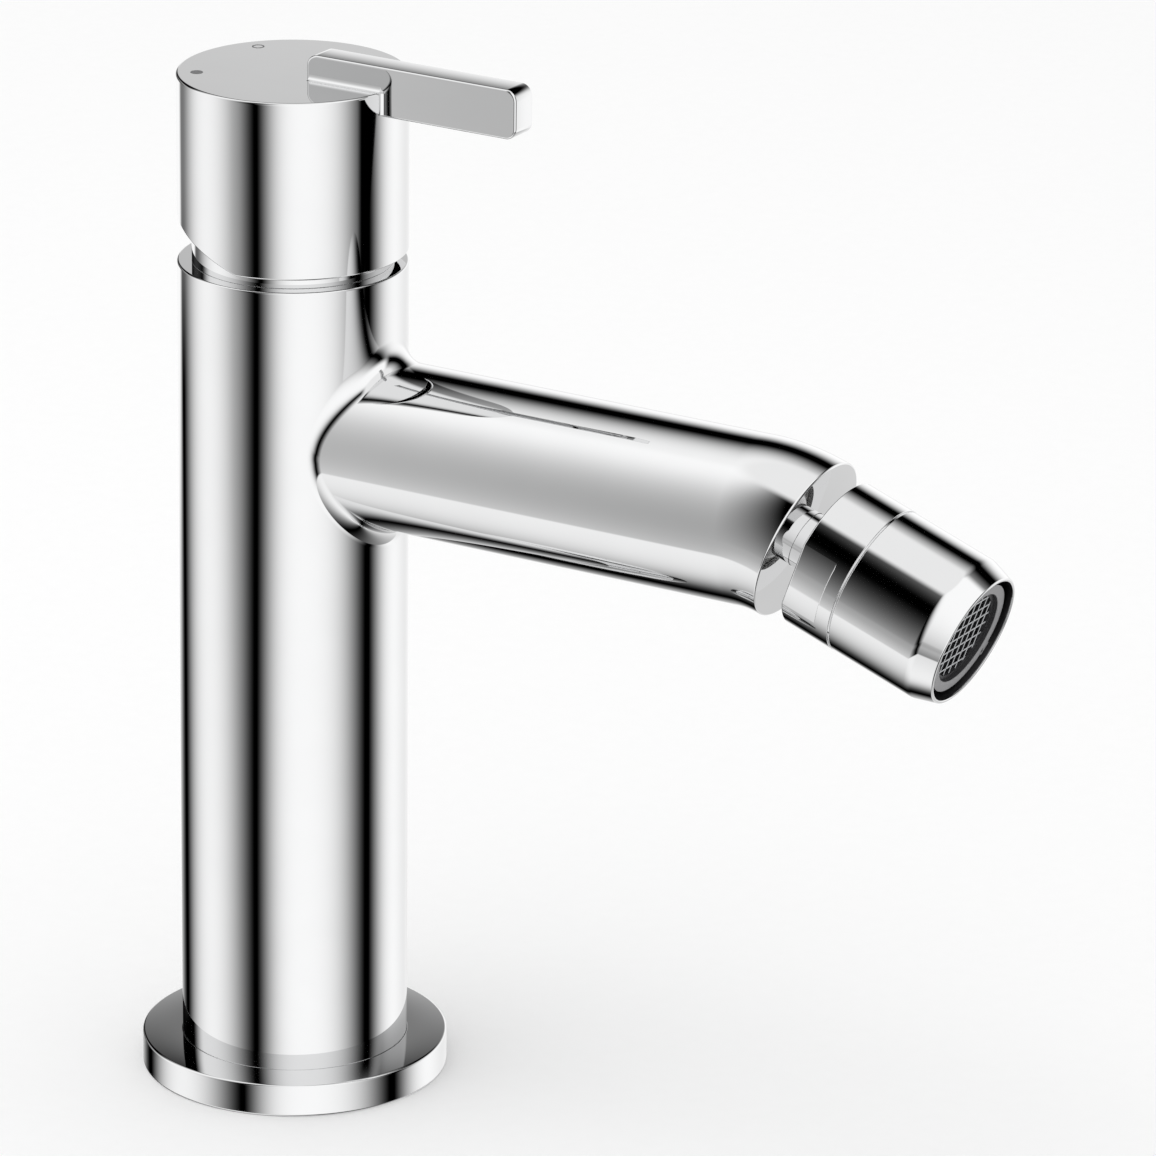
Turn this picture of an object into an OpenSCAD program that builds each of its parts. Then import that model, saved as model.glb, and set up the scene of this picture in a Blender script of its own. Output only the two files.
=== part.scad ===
// Single-lever bidet mixer: column with a bent spout, turning and lifting handle, ball-joint nozzle.
// Millimetres. The origin is on the column's axis at the deck; +X runs along the spout, +Z is up.

/* [Column] */
// Outside diameter of the column
body_d = 40; // [38:0.5:56]
// Height of the column's top above the deck
body_h = 149.5; // [110:0.5:260]
// Wall of the hollow foot
foot_wall = 3.5; // [1.5:0.25:4.5]
// Distance from the column's top down to the bridge's underside
bridge_drop = 65.5; // [60:0.5:80]

/* [Base flange] */
// Width of the flange round the column
flange_w = 7.1; // [5:0.1:20]
// Thickness of the flange
flange_t = 5.9; // [4:0.1:12]
// Bevel on the flange's edges
flange_bevel = 0.4; // [0.2:0.1:1.5]
// Width of the gasket in the flange's underside
base_seal_w = 3; // [1.5:0.25:5]

/* [Spout] */
// Outside diameter of the spout
spout_d = 29.4; // [25:0.2:35]
// Distance from the column's top down to the spout's axis
spout_drop = 30.1; // [27.6:0.1:40]
// Distance from the column's axis to the start of the bend
bend_x = 92.8; // [60:0.2:160]
// Radius of the bend's centre line
bend_r = 28; // [20:1:60]
// Angle by which the spout's end points down
bend_deg = 20; // [8:1:35]
// Radius of the blend between the spout and the column
blend_r = 4; // [2:0.25:8]
// Diameter of the waterway in the spout
waterway_d = 22; // [14:0.5:25]

/* [Deck fixing] */
// Drilled diameter of the two hose ports, for an M10x1 thread
port_d = 9; // [7:0.1:10.5]
// Depth of the hose ports' thread
port_depth = 12; // [6:0.5:20]
// Distance of each hose port from the middle plane
port_y = 7.5; // [6.8:0.1:9]
// Drilled diameter of the stud hole, for an M8 thread
stud_hole_d = 6.8; // [4:0.1:8.5]
// Depth of the stud hole
stud_hole_depth = 14; // [8:0.5:24]

/* [Handle] */
// Gap between the column's top and the cap
cap_gap = 2.2; // [1:0.1:4]
// Height of the cap
cap_h = 31.3; // [27:0.1:45]
// Wall of the cap's skirt
cap_wall = 1.4; // [0.8:0.1:1.7]
// Thickness of the cap's top
cap_top = 5; // [3:0.1:7]
// Slope of the cut under the cap's rear, equal to the lever's lift
skirt_deg = 20; // [8:1:24]
// Distance from the column's axis to the start of that cut
skirt_x = 1.2; // [-3:0.1:5]
// Distance from the cap's side to the lever's tip
lever_overhang = 26.4; // [10:0.2:60]
// Distance from the column's axis to the lever's inner end
lever_start = 4.6; // [2:0.2:12]
// Thickness of the lever
lever_t = 5.6; // [3:0.1:10]
// Height of the lever
lever_h = 8.7; // [6:0.1:12]
// Height of the lever above the cap's top
lever_rise = 4.4; // [3:0.1:7]
// Radius of the lever's tip corners
lever_corner_r = 2; // [0.6:0.1:2.8]
// Radius of the fillets between the lever and the cap
lever_fillet_r = 1; // [0.5:0.1:2]

/* [Cartridge] */
// Outside diameter of the cartridge
cartridge_d = 28; // [26:0.2:32]
// Step from the column's side in to the visible neck
neck_inset = 2.5; // [2.2:0.1:3.4]
// Height of the visible neck above the column's top
neck_h = 4.7; // [3:0.1:6]
// Width of the stem's square
stem_w = 7; // [5:0.1:9]
// Diameter of the pivot pin
pivot_d = 3; // [2:0.1:4]

/* [Nozzle] */
// Outside diameter of the collar
collar_d = 26.8; // [26:0.1:32]
// Outside diameter of the sleeve
sleeve_d = 26.6; // [25.2:0.1:32]
// Diameter of the mouth's rim
rim_d = 24.2; // [22:0.1:26]
// Gap between the spout's end and the collar
nozzle_gap = 4.5; // [3.6:0.1:8]
// Length of the collar
collar_l = 9.4; // [8.4:0.1:11]
// Length of the sleeve
sleeve_l = 20.4; // [16:0.1:30]
// Width across the collar's wrench flats
flats_w = 24; // [23.2:0.1:26]
// Length of the wrench flats
flats_l = 6.7; // [3:0.1:8]
// Diameter of the stud's neck
stud_neck_d = 10; // [9:0.2:11]
// Diameter of the stud's ball
ball_d = 18; // [17:0.1:18.6]
// Number of wires each way in the screen
screen_wires = 7; // [5:2:13]
// Thickness of the screen's wires
wire_t = 0.4; // [0.3:0.05:0.8]

/* [Hidden] */
$fn = 96;

chrome = [0.86, 0.87, 0.88];
brass = [0.79, 0.66, 0.36];
steel = [0.62, 0.63, 0.65];
ceramic = [0.93, 0.92, 0.88];
white_plastic = [0.92, 0.92, 0.90];
grey_plastic = [0.62, 0.63, 0.64];
rubber = [0.12, 0.12, 0.13];

// Radial play of parts that turn or slide in one another
fit = 0.05;
// Play between parts that are clamped together
loose = 0.1;
// Clear space between parts that pass one another
passing = 0.3;
// Overlap that keeps a cut clear of a face
over = 1;

body_r = body_d / 2;
spout_r = spout_d / 2;
waterway_r = waterway_d / 2;

// The column stands on a ledge inside the flange
ledge_t = 2;
foot_r = body_r - foot_wall;
flange_r = body_r + flange_w;
base_seal_r = body_r + flange_w / 2;

// Hose ports and fixing stud sit in the bridge, the waterways run on above it
bridge_z = body_h - bridge_drop;
port_x = 3;
stud_hole_x = -8.5;
channel_d = 6.5;
outlet_x = -6;
outlet_d = 6.5;
spout_z = body_h - spout_drop;

// Cartridge chamber, counted down from the column's top
nut_engage = 6.5;
nut_seat_z = body_h - nut_engage;
chamber_depth = 23.5;
floor_z = body_h - chamber_depth;
chamber_r = cartridge_d / 2 + loose;
nut_step = 2;
nut_r = cartridge_d / 2 + nut_step;
nut_rise = 2.4;
nut_top_z = body_h + nut_rise;

// Cartridge stack, counted up from the chamber's floor
seal_t = 1;
seal_inset = 0.5;
port_step = 1;
housing_z = floor_z + seal_t;
plate_t = 2.5;
disc_z = housing_z + plate_t;
disc_t = 2.5;
moving_z = disc_z + disc_t + fit;
carrier_z = moving_z + disc_t;
carrier_t = 4.4;
carrier_head_z = carrier_z + carrier_t + passing;
housing_wall = 1.7;
housing_bore_r = cartridge_d / 2 - housing_wall;
disc_r = housing_bore_r - loose;

// Lever carrier turns inside the housing and the nut
rotor_r = housing_bore_r - loose;
rotor_step = 1.8;
rotor_neck_r = rotor_r - rotor_step;
nut_bore_r = rotor_neck_r + loose;
rotor_rise = 5.4;
rotor_top_z = body_h + rotor_rise;
slot_l = 15;
lug_t = 2.7;
lug_y = rotor_r - lug_t;

// The stem turns about the pivot, and its nose carries the moving disc along
pivot_drop = 1;
pivot_z = body_h - pivot_drop;
pin_inset = 0.8;
stem_below = 3.5;
nose_r = 2;
nose_neck = 0.7;
nose_z = carrier_z + nose_r + passing;
disc_travel = (pivot_z - nose_z) * sin(skirt_deg);
disc_rest_x = -disc_travel / 2;
slider_r = housing_bore_r - disc_travel / 2 - passing;
hollow_r = 6;

// Neck ring between the column and the handle, round the nut's head
neck_r = body_r - neck_inset;
neck_wall = 1.5;
nut_head_r = neck_r - neck_wall;
neck_crown = 0.8;
neck_lip = 1.2;
neck_play = 0.4;
neck_seat = 1;

// Handle heights, with the boss and the grub screw that hold the stem
cap_z = body_h + cap_gap;
cap_top_z = cap_z + cap_h;
cap_bore_r = body_r - cap_wall;
cap_edge = 0.5;
lever_top_z = cap_top_z + lever_rise;
lever_low_z = lever_top_z - lever_h;
lever_reach = body_r + lever_overhang;
fillet_toe = 0.05;
fillet_sink = 0.4;
boss_r = 7.5;
boss_rise = 11;
boss_z = body_h + boss_rise;
boss_roof = 4;
stem_top_z = cap_top_z - cap_top - boss_roof;
screw_rise = 16.5;
screw_z = body_h + screw_rise;
screw_d = 5;
screw_l = 6;
access_d = 5.6;

// Spout end: centre of the end face, where the nozzle's axis starts
end_x = bend_x + bend_r * sin(bend_deg);
end_z = spout_z - bend_r * (1 - cos(bend_deg));
drill_l = bend_r * tan(bend_deg) + over;
waterway_start = body_r - over;

// Nozzle stations along its axis, counted from the end face
seam_s = nozzle_gap + collar_l;
mouth_s = seam_s + sleeve_l;
ball_r = ball_d / 2;
ball_depth = 6.5;
ball_s = nozzle_gap + ball_depth;

// Ball stud, screwed into the spout's end
stud_bore_d = 5.2;
shank_l = 10;
hex_w = 7;
hex_depth = 4;
ball_cut = 6;
oring_s = -3;
oring_t = 1.1;
groove_w = 1.5;

// Seat round the ball, and the opening that lets the neck tilt
seat_t = 1;
seat_lip = 0.1;
pocket_r = ball_r + seat_t + 2 * fit;
neck_room = 3.4;
opening_r = stud_neck_d / 2 + neck_room;
seat_half = sqrt(pow(pocket_r, 2) - pow(opening_r, 2)) - seat_lip;

// Nozzle shells
collar_edge = 0.3;
spigot_wall = 1.1;
spigot_r = pocket_r + spigot_wall;
spigot_gap = 0.2;
web_t = 1.4;
chamber_s = ball_s + seat_half + seat_lip + web_t;
sleeve_r = sleeve_d / 2;
sleeve_wall = 2.1;
aerator_r = sleeve_r - sleeve_wall;
rim_r = rim_d / 2;
rim_edge = 0.4;
rim_w = 0.7;
mouth_r = rim_r - rim_w;
mouth_depth = 4.3;
nose_l = 4.2;
nose_bend_r = 4;
nose_steps = 4;
seam_w = 0.5;
seam_depth = 0.45;

// Aerator, pushed into the sleeve from the mouth
gasket_t = 2;
cage_s = chamber_s + gasket_t;
cage_recess = 1;
cage_end_s = mouth_s - cage_recess;
cage_gap = 1.2;
cage_face_r = mouth_r - cage_gap;
cage_face_w = 1.8;
cage_bore_r = cage_face_r - cage_face_w;
cage_tabs = 6;
tab_w = 2.5;
tab_out = 0.5;
screen_recess = 2.6;
screen_s = mouth_s - screen_recess;
screen_t = 0.8;
screen_rim = 0.7;
screen_r = cage_bore_r - fit;
regulator_t = 4;
regulator_holes = 10;
regulator_hole_d = 2;
regulator_ring_inset = 2.7;

// Places its children on the nozzle's axis: +Z along the water, +X down
module on_nozzle_axis() {
    translate([end_x, 0, end_z])
        rotate([0, 90 + bend_deg, 0])
            children();
}

// Ring or tube between two heights
module tube(r_out, r_in, z0, z1) {
    translate([0, 0, z0])
        difference() {
            cylinder(r = r_out, h = z1 - z0);
            translate([0, 0, -over])
                cylinder(r = r_in, h = z1 - z0 + 2 * over);
        }
}

// Blend between spout and column: a ball of radius blend_r rolls along both.
// At angle a round the spout the ball's centre keeps blend_r from both cylinders.
function ball_centre(a) =
    let (y = (spout_r + blend_r) * cos(a))
    [sqrt(pow(body_r + blend_r, 2) - y * y), y, (spout_r + blend_r) * sin(a)];

function to_body(a) = let (c = ball_centre(a)) [-c[0], -c[1], 0] / (body_r + blend_r);

function to_spout(a) = [0, -cos(a), -sin(a)];

// Direction a share t of the way round from u to v
function between(u, v, t) =
    let (w = acos(u * v))
    (sin((1 - t) * w) * u + sin(t * w) * v) / sin(w);

blend_stations = 48;
blend_steps = 5;
blend_sink = 0.2;
blend_core = 2;

// Section of the blend: its hollow arc, with both ends sunk, closed by a point inside the spout
function blend_section(a) =
    let (c = ball_centre(a), u = to_body(a), v = to_spout(a), core_r = spout_r - blend_core)
    concat(
        [c + (blend_r + blend_sink) * u],
        [for (k = [1 : blend_steps - 1]) c + blend_r * between(u, v, k / blend_steps)],
        [c + (blend_r + blend_sink) * v],
        [[c[0] + blend_r * u[0] - blend_core, core_r * cos(a), core_r * sin(a)]]);

module spout_blend() {
    count = blend_steps + 2;
    points = [for (i = [0 : blend_stations - 1]) each blend_section(i * 360 / blend_stations)];
    faces = [for (i = [0 : blend_stations - 1]) for (k = [0 : count - 1])
        let (j = (i + 1) % blend_stations, m = (k + 1) % count)
        each [[i * count + k, j * count + m, j * count + k], [i * count + k, i * count + m, j * count + m]]];
    translate([0, 0, spout_z])
        polyhedron(points, faces);
}

// Straight stretch and bend of the spout
module spout_outside() {
    translate([0, 0, spout_z])
        rotate([0, 90, 0])
            cylinder(d = spout_d, h = bend_x);
    translate([bend_x, 0, spout_z - bend_r])
        rotate([90, 0, 0])
            rotate_extrude(angle = bend_deg, start = 90 - bend_deg)
                translate([bend_r, 0])
                    circle(d = spout_d);
}

// Ports up to the cartridge, outlet down from it, and the way along the spout to the stud
module body_waterways() {
    translate([waterway_start, 0, spout_z])
        rotate([0, 90, 0])
            cylinder(r = waterway_r, h = bend_x - waterway_start);
    translate([outlet_x, 0, spout_z])
        rotate([0, 90, 0])
            cylinder(d = outlet_d, h = waterway_start - outlet_x + over);
    translate([outlet_x, 0, spout_z])
        cylinder(d = outlet_d, h = floor_z - spout_z + over);
    on_nozzle_axis()
        translate([0, 0, -drill_l])
            cylinder(d = stud_neck_d + 2 * fit, h = drill_l + over);
    for (side = [-1, 1])
        translate([port_x, side * port_y, bridge_z - over]) {
            cylinder(d = port_d, h = port_depth + over);
            cylinder(d = channel_d, h = floor_z - bridge_z + 2 * over);
        }
}

// Column and spout, hollow below the bridge
module body() {
    color(chrome)
        difference() {
            union() {
                translate([0, 0, ledge_t])
                    cylinder(r = body_r, h = body_h - ledge_t);
                spout_outside();
                spout_blend();
            }
            cylinder(r = foot_r, h = bridge_z);
            translate([stud_hole_x, 0, bridge_z - over])
                cylinder(d = stud_hole_d, h = stud_hole_depth + over);
            translate([0, 0, floor_z])
                cylinder(r = chamber_r, h = body_h - floor_z + over);
            translate([0, 0, nut_seat_z])
                cylinder(r = nut_r, h = body_h - nut_seat_z + over);
            body_waterways();
        }
}

// Plate round the column's foot, with a ledge that carries it
module base_flange() {
    color(chrome)
        difference() {
            rotate_extrude()
                polygon([
                    [foot_r, 0],
                    [flange_r - flange_bevel, 0],
                    [flange_r, flange_bevel],
                    [flange_r, flange_t - flange_bevel],
                    [flange_r - flange_bevel, flange_t],
                    [body_r + fit, flange_t],
                    [body_r + fit, ledge_t],
                    [foot_r, ledge_t]]);
            tube(base_seal_r + base_seal_w / 2, base_seal_r - base_seal_w / 2, -over, ledge_t);
        }
}

module base_seal() {
    color(rubber)
        tube(base_seal_r + base_seal_w / 2 - fit, base_seal_r - base_seal_w / 2 + fit, 0, ledge_t);
}

// The three ports of the cartridge's floor, narrowed by a step
module cartridge_ports(step, h) {
    for (side = [-1, 1])
        translate([port_x, side * port_y, -over])
            cylinder(d = channel_d - step, h = h + 2 * over);
    translate([outlet_x, 0, -over])
        cylinder(d = outlet_d - step, h = h + 2 * over);
}

module port_seal() {
    color(rubber)
        translate([0, 0, floor_z])
            difference() {
                cylinder(r = cartridge_d / 2 - seal_inset, h = seal_t);
                cartridge_ports(port_step, seal_t);
            }
}

// Shell of the cartridge, closed below by a plate with the ports
module cartridge_housing() {
    color(white_plastic)
        difference() {
            translate([0, 0, housing_z])
                cylinder(d = cartridge_d, h = nut_seat_z - housing_z);
            translate([0, 0, disc_z])
                cylinder(r = housing_bore_r, h = nut_seat_z - disc_z + over);
            translate([0, 0, housing_z])
                cartridge_ports(2 * port_step, plate_t);
        }
}

module fixed_disc() {
    color(ceramic)
        translate([0, 0, disc_z])
            difference() {
                cylinder(r = disc_r, h = disc_t);
                cartridge_ports(2 * port_step, disc_t);
            }
}

// Upper ceramic disc, with the hollow that joins the ports when it slides over them
module moving_disc() {
    color(ceramic)
        translate([disc_rest_x, 0, moving_z])
            difference() {
                cylinder(r = slider_r, h = disc_t);
                translate([0, 0, -over])
                    cylinder(r = hollow_r, h = over + disc_t / 2);
            }
}

// Slides between the lever carrier's lugs, with the stem's nose in its hole
module disc_carrier() {
    color(grey_plastic)
        difference() {
            translate([disc_rest_x, 0, carrier_z])
                intersection() {
                    cylinder(r = slider_r, h = carrier_t);
                    translate([-slider_r, fit - lug_y, 0])
                        cube([2 * slider_r, 2 * (lug_y - fit), carrier_t]);
                }
            translate([0, 0, carrier_z - over])
                cylinder(r = nose_r + loose, h = carrier_t + 2 * over);
        }
}

// Turns with the handle; its two lugs guide the disc carrier
module lever_carrier() {
    color(grey_plastic)
        difference() {
            union() {
                translate([0, 0, carrier_head_z])
                    cylinder(r = rotor_r, h = nut_seat_z - loose - carrier_head_z);
                translate([0, 0, nut_seat_z - over])
                    cylinder(r = rotor_neck_r, h = rotor_top_z - nut_seat_z + over);
                intersection() {
                    translate([0, 0, carrier_z + loose])
                        cylinder(r = rotor_r, h = carrier_head_z - carrier_z);
                    for (side = [0, 180])
                        rotate([0, 0, side])
                            translate([-rotor_r, lug_y, carrier_z])
                                cube([2 * rotor_r, rotor_r, carrier_head_z - carrier_z + over]);
                }
            }
            translate([-slot_l / 2, -stem_w / 2 - loose, carrier_z])
                cube([slot_l, stem_w + 2 * loose, rotor_top_z - carrier_z + over]);
            translate([0, rotor_neck_r + over, pivot_z])
                rotate([90, 0, 0])
                    cylinder(d = pivot_d, h = 2 * (rotor_neck_r + over));
        }
}

module pivot_pin() {
    pin_half = rotor_neck_r - pin_inset;
    color(steel)
        translate([0, pin_half, pivot_z])
            rotate([90, 0, 0])
                cylinder(d = pivot_d, h = 2 * pin_half);
}

// Square stem with a round nose below the pivot
module stem() {
    color(brass)
        difference() {
            union() {
                translate([-stem_w / 2, -stem_w / 2, pivot_z - stem_below])
                    cube([stem_w, stem_w, stem_top_z - pivot_z + stem_below]);
                translate([0, 0, nose_z])
                    cylinder(r = nose_r - nose_neck, h = pivot_z - nose_z);
                translate([0, 0, nose_z])
                    sphere(r = nose_r);
            }
            translate([0, stem_w, pivot_z])
                rotate([90, 0, 0])
                    cylinder(d = pivot_d + 2 * fit, h = 2 * stem_w);
        }
}

// Nut that clamps the cartridge, with a head inside the neck ring
module cartridge_nut() {
    color(brass) {
        tube(nut_r - loose, nut_bore_r, nut_seat_z, body_h);
        tube(nut_head_r - loose, nut_bore_r, body_h, nut_top_z);
    }
}

// The neck that shows between the column and the handle
module trim_ring() {
    crown_z = body_h + neck_h + neck_crown;
    crown_r = nut_bore_r + neck_play;
    color(chrome)
        rotate_extrude()
            polygon([
                [nut_head_r, body_h],
                [neck_r, body_h],
                [neck_r, body_h + neck_h],
                [crown_r, crown_z],
                [crown_r, crown_z - neck_lip],
                [nut_head_r - neck_seat, nut_top_z],
                [nut_head_r, nut_top_z]]);
}

// Outline of the lever from the side, with rounded corners
module lever_outline() {
    r = lever_corner_r;
    difference() {
        translate([lever_start, lever_low_z])
            square([lever_reach - lever_start, lever_h]);
        translate([lever_reach - r, lever_top_z - r])
            square(r + over);
        translate([lever_reach - r, lever_low_z - over])
            square(r + over);
        translate([lever_start - over, lever_top_z - r])
            square(r + over);
    }
    for (c = [
            [lever_reach - r, lever_top_z - r],
            [lever_reach - r, lever_low_z + r],
            [lever_start + r, lever_top_z - r]])
        translate(c)
            circle(r = r);
}

// Fillets along the lever: on the cap's top, and down the cap's side
module lever_fillets() {
    r = lever_fillet_r;
    side_y = lever_t / 2;
    rim_x = sqrt(pow(body_r + r, 2) - pow(side_y + r, 2));
    for (side = [0, 1])
        mirror([0, side, 0]) {
            translate([lever_start + fillet_sink, 0, cap_top_z])
                rotate([90, 0, 90])
                    linear_extrude(rim_x - 2 * r - lever_start - fillet_sink)
                        difference() {
                            translate([side_y - fillet_sink, -fillet_sink])
                                square(r + fillet_sink);
                            translate([side_y + r, r])
                                circle(r = r + fillet_toe);
                        }
            translate([0, 0, lever_low_z + fillet_sink])
                linear_extrude(cap_top_z - cap_edge - lever_low_z - fillet_sink)
                    difference() {
                        translate([rim_x - 2 * r, side_y - fillet_sink])
                            square([2 * r, r + fillet_sink]);
                        translate([rim_x, side_y + r])
                            circle(r = r + fillet_toe);
                    }
        }
}

// Turned cap, cut at a slope under its rear, with the lever blade on top
module handle() {
    socket_w = stem_w + 2 * fit;
    color(chrome)
        difference() {
            union() {
                rotate_extrude()
                    polygon([
                        [cap_bore_r, cap_z],
                        [body_r - cap_edge, cap_z],
                        [body_r, cap_z + cap_edge],
                        [body_r, cap_top_z - cap_edge],
                        [body_r - cap_edge, cap_top_z],
                        [0, cap_top_z],
                        [0, cap_top_z - cap_top],
                        [cap_bore_r, cap_top_z - cap_top]]);
                translate([0, 0, boss_z])
                    cylinder(r = boss_r, h = cap_top_z - cap_top - boss_z + over);
                translate([0, lever_t / 2, 0])
                    rotate([90, 0, 0])
                        linear_extrude(lever_t)
                            lever_outline();
                lever_fillets();
            }
            translate([skirt_x, -body_d, cap_z])
                rotate([0, skirt_deg, 0])
                    translate([-2 * body_d, 0, -body_d])
                        cube([2 * body_d, 2 * body_d, body_d]);
            translate([-socket_w / 2, -socket_w / 2, boss_z - over])
                cube([socket_w, socket_w, stem_top_z - boss_z + over]);
            translate([-boss_r - over, 0, screw_z])
                rotate([0, 90, 0])
                    cylinder(d = screw_d + 2 * fit, h = boss_r + over);
            translate([-body_r - over, 0, screw_z])
                rotate([0, 90, 0])
                    cylinder(d = access_d, h = body_r - boss_r);
        }
}

// Grub screw with a hexagon socket
module set_screw() {
    color(steel)
        translate([-stem_w / 2 - screw_l, 0, screw_z])
            rotate([0, 90, 0])
                difference() {
                    cylinder(d = screw_d, h = screw_l);
                    translate([0, 0, -over])
                        cylinder(d = screw_d / 2, h = screw_l / 2 + over, $fn = 6);
                }
}

// Plug that closes the screw's access hole, flush with the cap
module screw_plug() {
    color(chrome)
        intersection() {
            translate([-body_r - over, 0, screw_z])
                rotate([0, 90, 0])
                    cylinder(d = access_d - 2 * fit, h = body_r - boss_r);
            tube(body_r, cap_bore_r, screw_z - access_d, screw_z + access_d);
        }
}

// Hollow stud with the ball that the nozzle turns on
module ball_stud() {
    color(chrome)
        on_nozzle_axis()
            difference() {
                union() {
                    translate([0, 0, -shank_l])
                        cylinder(d = stud_neck_d, h = shank_l + ball_s);
                    intersection() {
                        translate([0, 0, ball_s])
                            sphere(r = ball_r);
                        translate([0, 0, ball_s - ball_r])
                            cylinder(r = ball_d, h = ball_r + ball_cut);
                    }
                }
                translate([0, 0, -shank_l - over])
                    cylinder(d = stud_bore_d, h = shank_l + ball_s + ball_d);
                translate([0, 0, ball_s + ball_cut - hex_depth])
                    cylinder(d = hex_w / cos(30), h = hex_depth + over, $fn = 6);
                tube(stud_neck_d, stud_neck_d / 2 - oring_t, oring_s - groove_w / 2, oring_s + groove_w / 2);
            }
}

module stud_seal() {
    color(rubber)
        on_nozzle_axis()
            translate([0, 0, oring_s])
                rotate_extrude()
                    translate([stud_neck_d / 2 - oring_t / 2, 0])
                        circle(d = oring_t);
}

// Thin liner between the ball and the nozzle: a zone of a sphere's shell
module ball_seat() {
    color(white_plastic)
        on_nozzle_axis()
            translate([0, 0, ball_s])
                rotate_extrude()
                    difference() {
                        intersection() {
                            circle(r = ball_r + fit + seat_t);
                            translate([0, -seat_half])
                                square([ball_d, 2 * seat_half]);
                        }
                        circle(r = ball_r + fit);
                    }
}

// Rear half of the nozzle, with two flats for a spanner
module nozzle_collar() {
    collar_r = collar_d / 2;
    color(chrome)
        on_nozzle_axis()
            difference() {
                rotate_extrude()
                    polygon([
                        [opening_r, nozzle_gap],
                        [collar_r - collar_edge, nozzle_gap],
                        [collar_r, nozzle_gap + collar_edge],
                        [collar_r, seam_s],
                        [opening_r, seam_s]]);
                translate([0, 0, ball_s])
                    sphere(r = pocket_r);
                translate([0, 0, ball_s])
                    cylinder(r = spigot_r + fit, h = collar_l);
                for (side = [0, 180])
                    rotate([0, 0, side])
                        translate([-collar_d, flats_w / 2, nozzle_gap - over])
                            cube([2 * collar_d, collar_d, flats_l + over]);
            }
}

// Points of the sleeve's nose: a short arc that turns the side into a cone, and the cone's end at the rim
function nose_points() =
    let (lean = atan((sleeve_r - rim_r) / (nose_l - rim_edge)),
        start_s = mouth_s - nose_l - nose_bend_r * tan(lean / 2))
    concat(
        [for (i = [0 : nose_steps])
            let (a = lean * i / nose_steps)
            [sleeve_r - nose_bend_r * (1 - cos(a)), start_s + nose_bend_r * sin(a)]],
        [[rim_r, mouth_s - rim_edge]]);

// Front half of the nozzle, from the seam to the rim, with a spigot inside the collar
module nozzle_sleeve() {
    color(chrome)
        on_nozzle_axis()
            difference() {
                rotate_extrude()
                    polygon(concat(
                        [[opening_r, ball_s + spigot_gap],
                            [spigot_r, ball_s + spigot_gap],
                            [spigot_r, seam_s],
                            [sleeve_r - seam_depth, seam_s],
                            [sleeve_r, seam_s + seam_w]],
                        nose_points(),
                        [[rim_r - rim_edge, mouth_s],
                            [mouth_r, mouth_s],
                            [mouth_r, mouth_s - mouth_depth],
                            [aerator_r, mouth_s - mouth_depth],
                            [aerator_r, chamber_s],
                            [opening_r, chamber_s]]));
                translate([0, 0, ball_s])
                    sphere(r = pocket_r);
            }
}

module aerator_gasket() {
    color(rubber)
        on_nozzle_axis()
            tube(aerator_r - fit, cage_bore_r, chamber_s, cage_s);
}

// Grey ring in the mouth, with tabs round its face for a key
module aerator_cage() {
    face_s = mouth_s - mouth_depth;
    color(grey_plastic)
        on_nozzle_axis() {
            tube(aerator_r - fit, cage_bore_r, cage_s, face_s);
            translate([0, 0, face_s - over])
                linear_extrude(cage_end_s - face_s + over)
                    difference() {
                        union() {
                            circle(r = cage_face_r);
                            intersection() {
                                circle(r = cage_face_r + tab_out);
                                for (i = [0 : cage_tabs - 1])
                                    rotate(i * 360 / cage_tabs)
                                        translate([0, -tab_w / 2])
                                            square([mouth_r, tab_w]);
                            }
                        }
                        circle(r = cage_bore_r);
                    }
        }
}

// Disc with a ring of small holes
module flow_regulator() {
    color(grey_plastic)
        on_nozzle_axis()
            translate([0, 0, cage_s])
                difference() {
                    cylinder(r = cage_bore_r - fit, h = regulator_t);
                    for (i = [0 : regulator_holes - 1])
                        rotate([0, 0, i * 360 / regulator_holes])
                            translate([cage_bore_r - regulator_ring_inset, 0, -over])
                                cylinder(d = regulator_hole_d, h = regulator_t + 2 * over, $fn = 32);
                }
}

// Square mesh in a thin rim
module aerator_screen() {
    pitch = 2 * screen_r / (screen_wires + 1);
    color(grey_plastic)
        on_nozzle_axis()
            translate([0, 0, screen_s]) {
                tube(screen_r, screen_r - screen_rim, 0, screen_t);
                intersection() {
                    cylinder(r = screen_r - screen_rim / 2, h = screen_t);
                    for (turn = [0, 90])
                        rotate([0, 0, turn])
                            for (i = [1 : screen_wires])
                                translate([-screen_r, i * pitch - screen_r - wire_t / 2, screen_t / 4])
                                    cube([2 * screen_r, wire_t, screen_t / 2]);
                }
            }
}

body();
base_flange();
base_seal();
port_seal();
cartridge_housing();
fixed_disc();
cartridge_nut();
trim_ring();
lever_carrier();
pivot_pin();
moving_disc();
disc_carrier();
handle();
stem();
set_screw();
screw_plug();
ball_stud();
stud_seal();
ball_seat();
nozzle_collar();
nozzle_sleeve();
aerator_gasket();
aerator_cage();
flow_regulator();
aerator_screen();
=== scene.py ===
# %% [markdown]
# # A chrome bidet mixer
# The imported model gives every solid, its body and its joints. This lesson dresses that model for
# a photograph: smooth chrome shells stand in for the solids that show, the solids inside keep their
# shape and get a finish, and a soft-box studio gives the chrome something to mirror.

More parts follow.
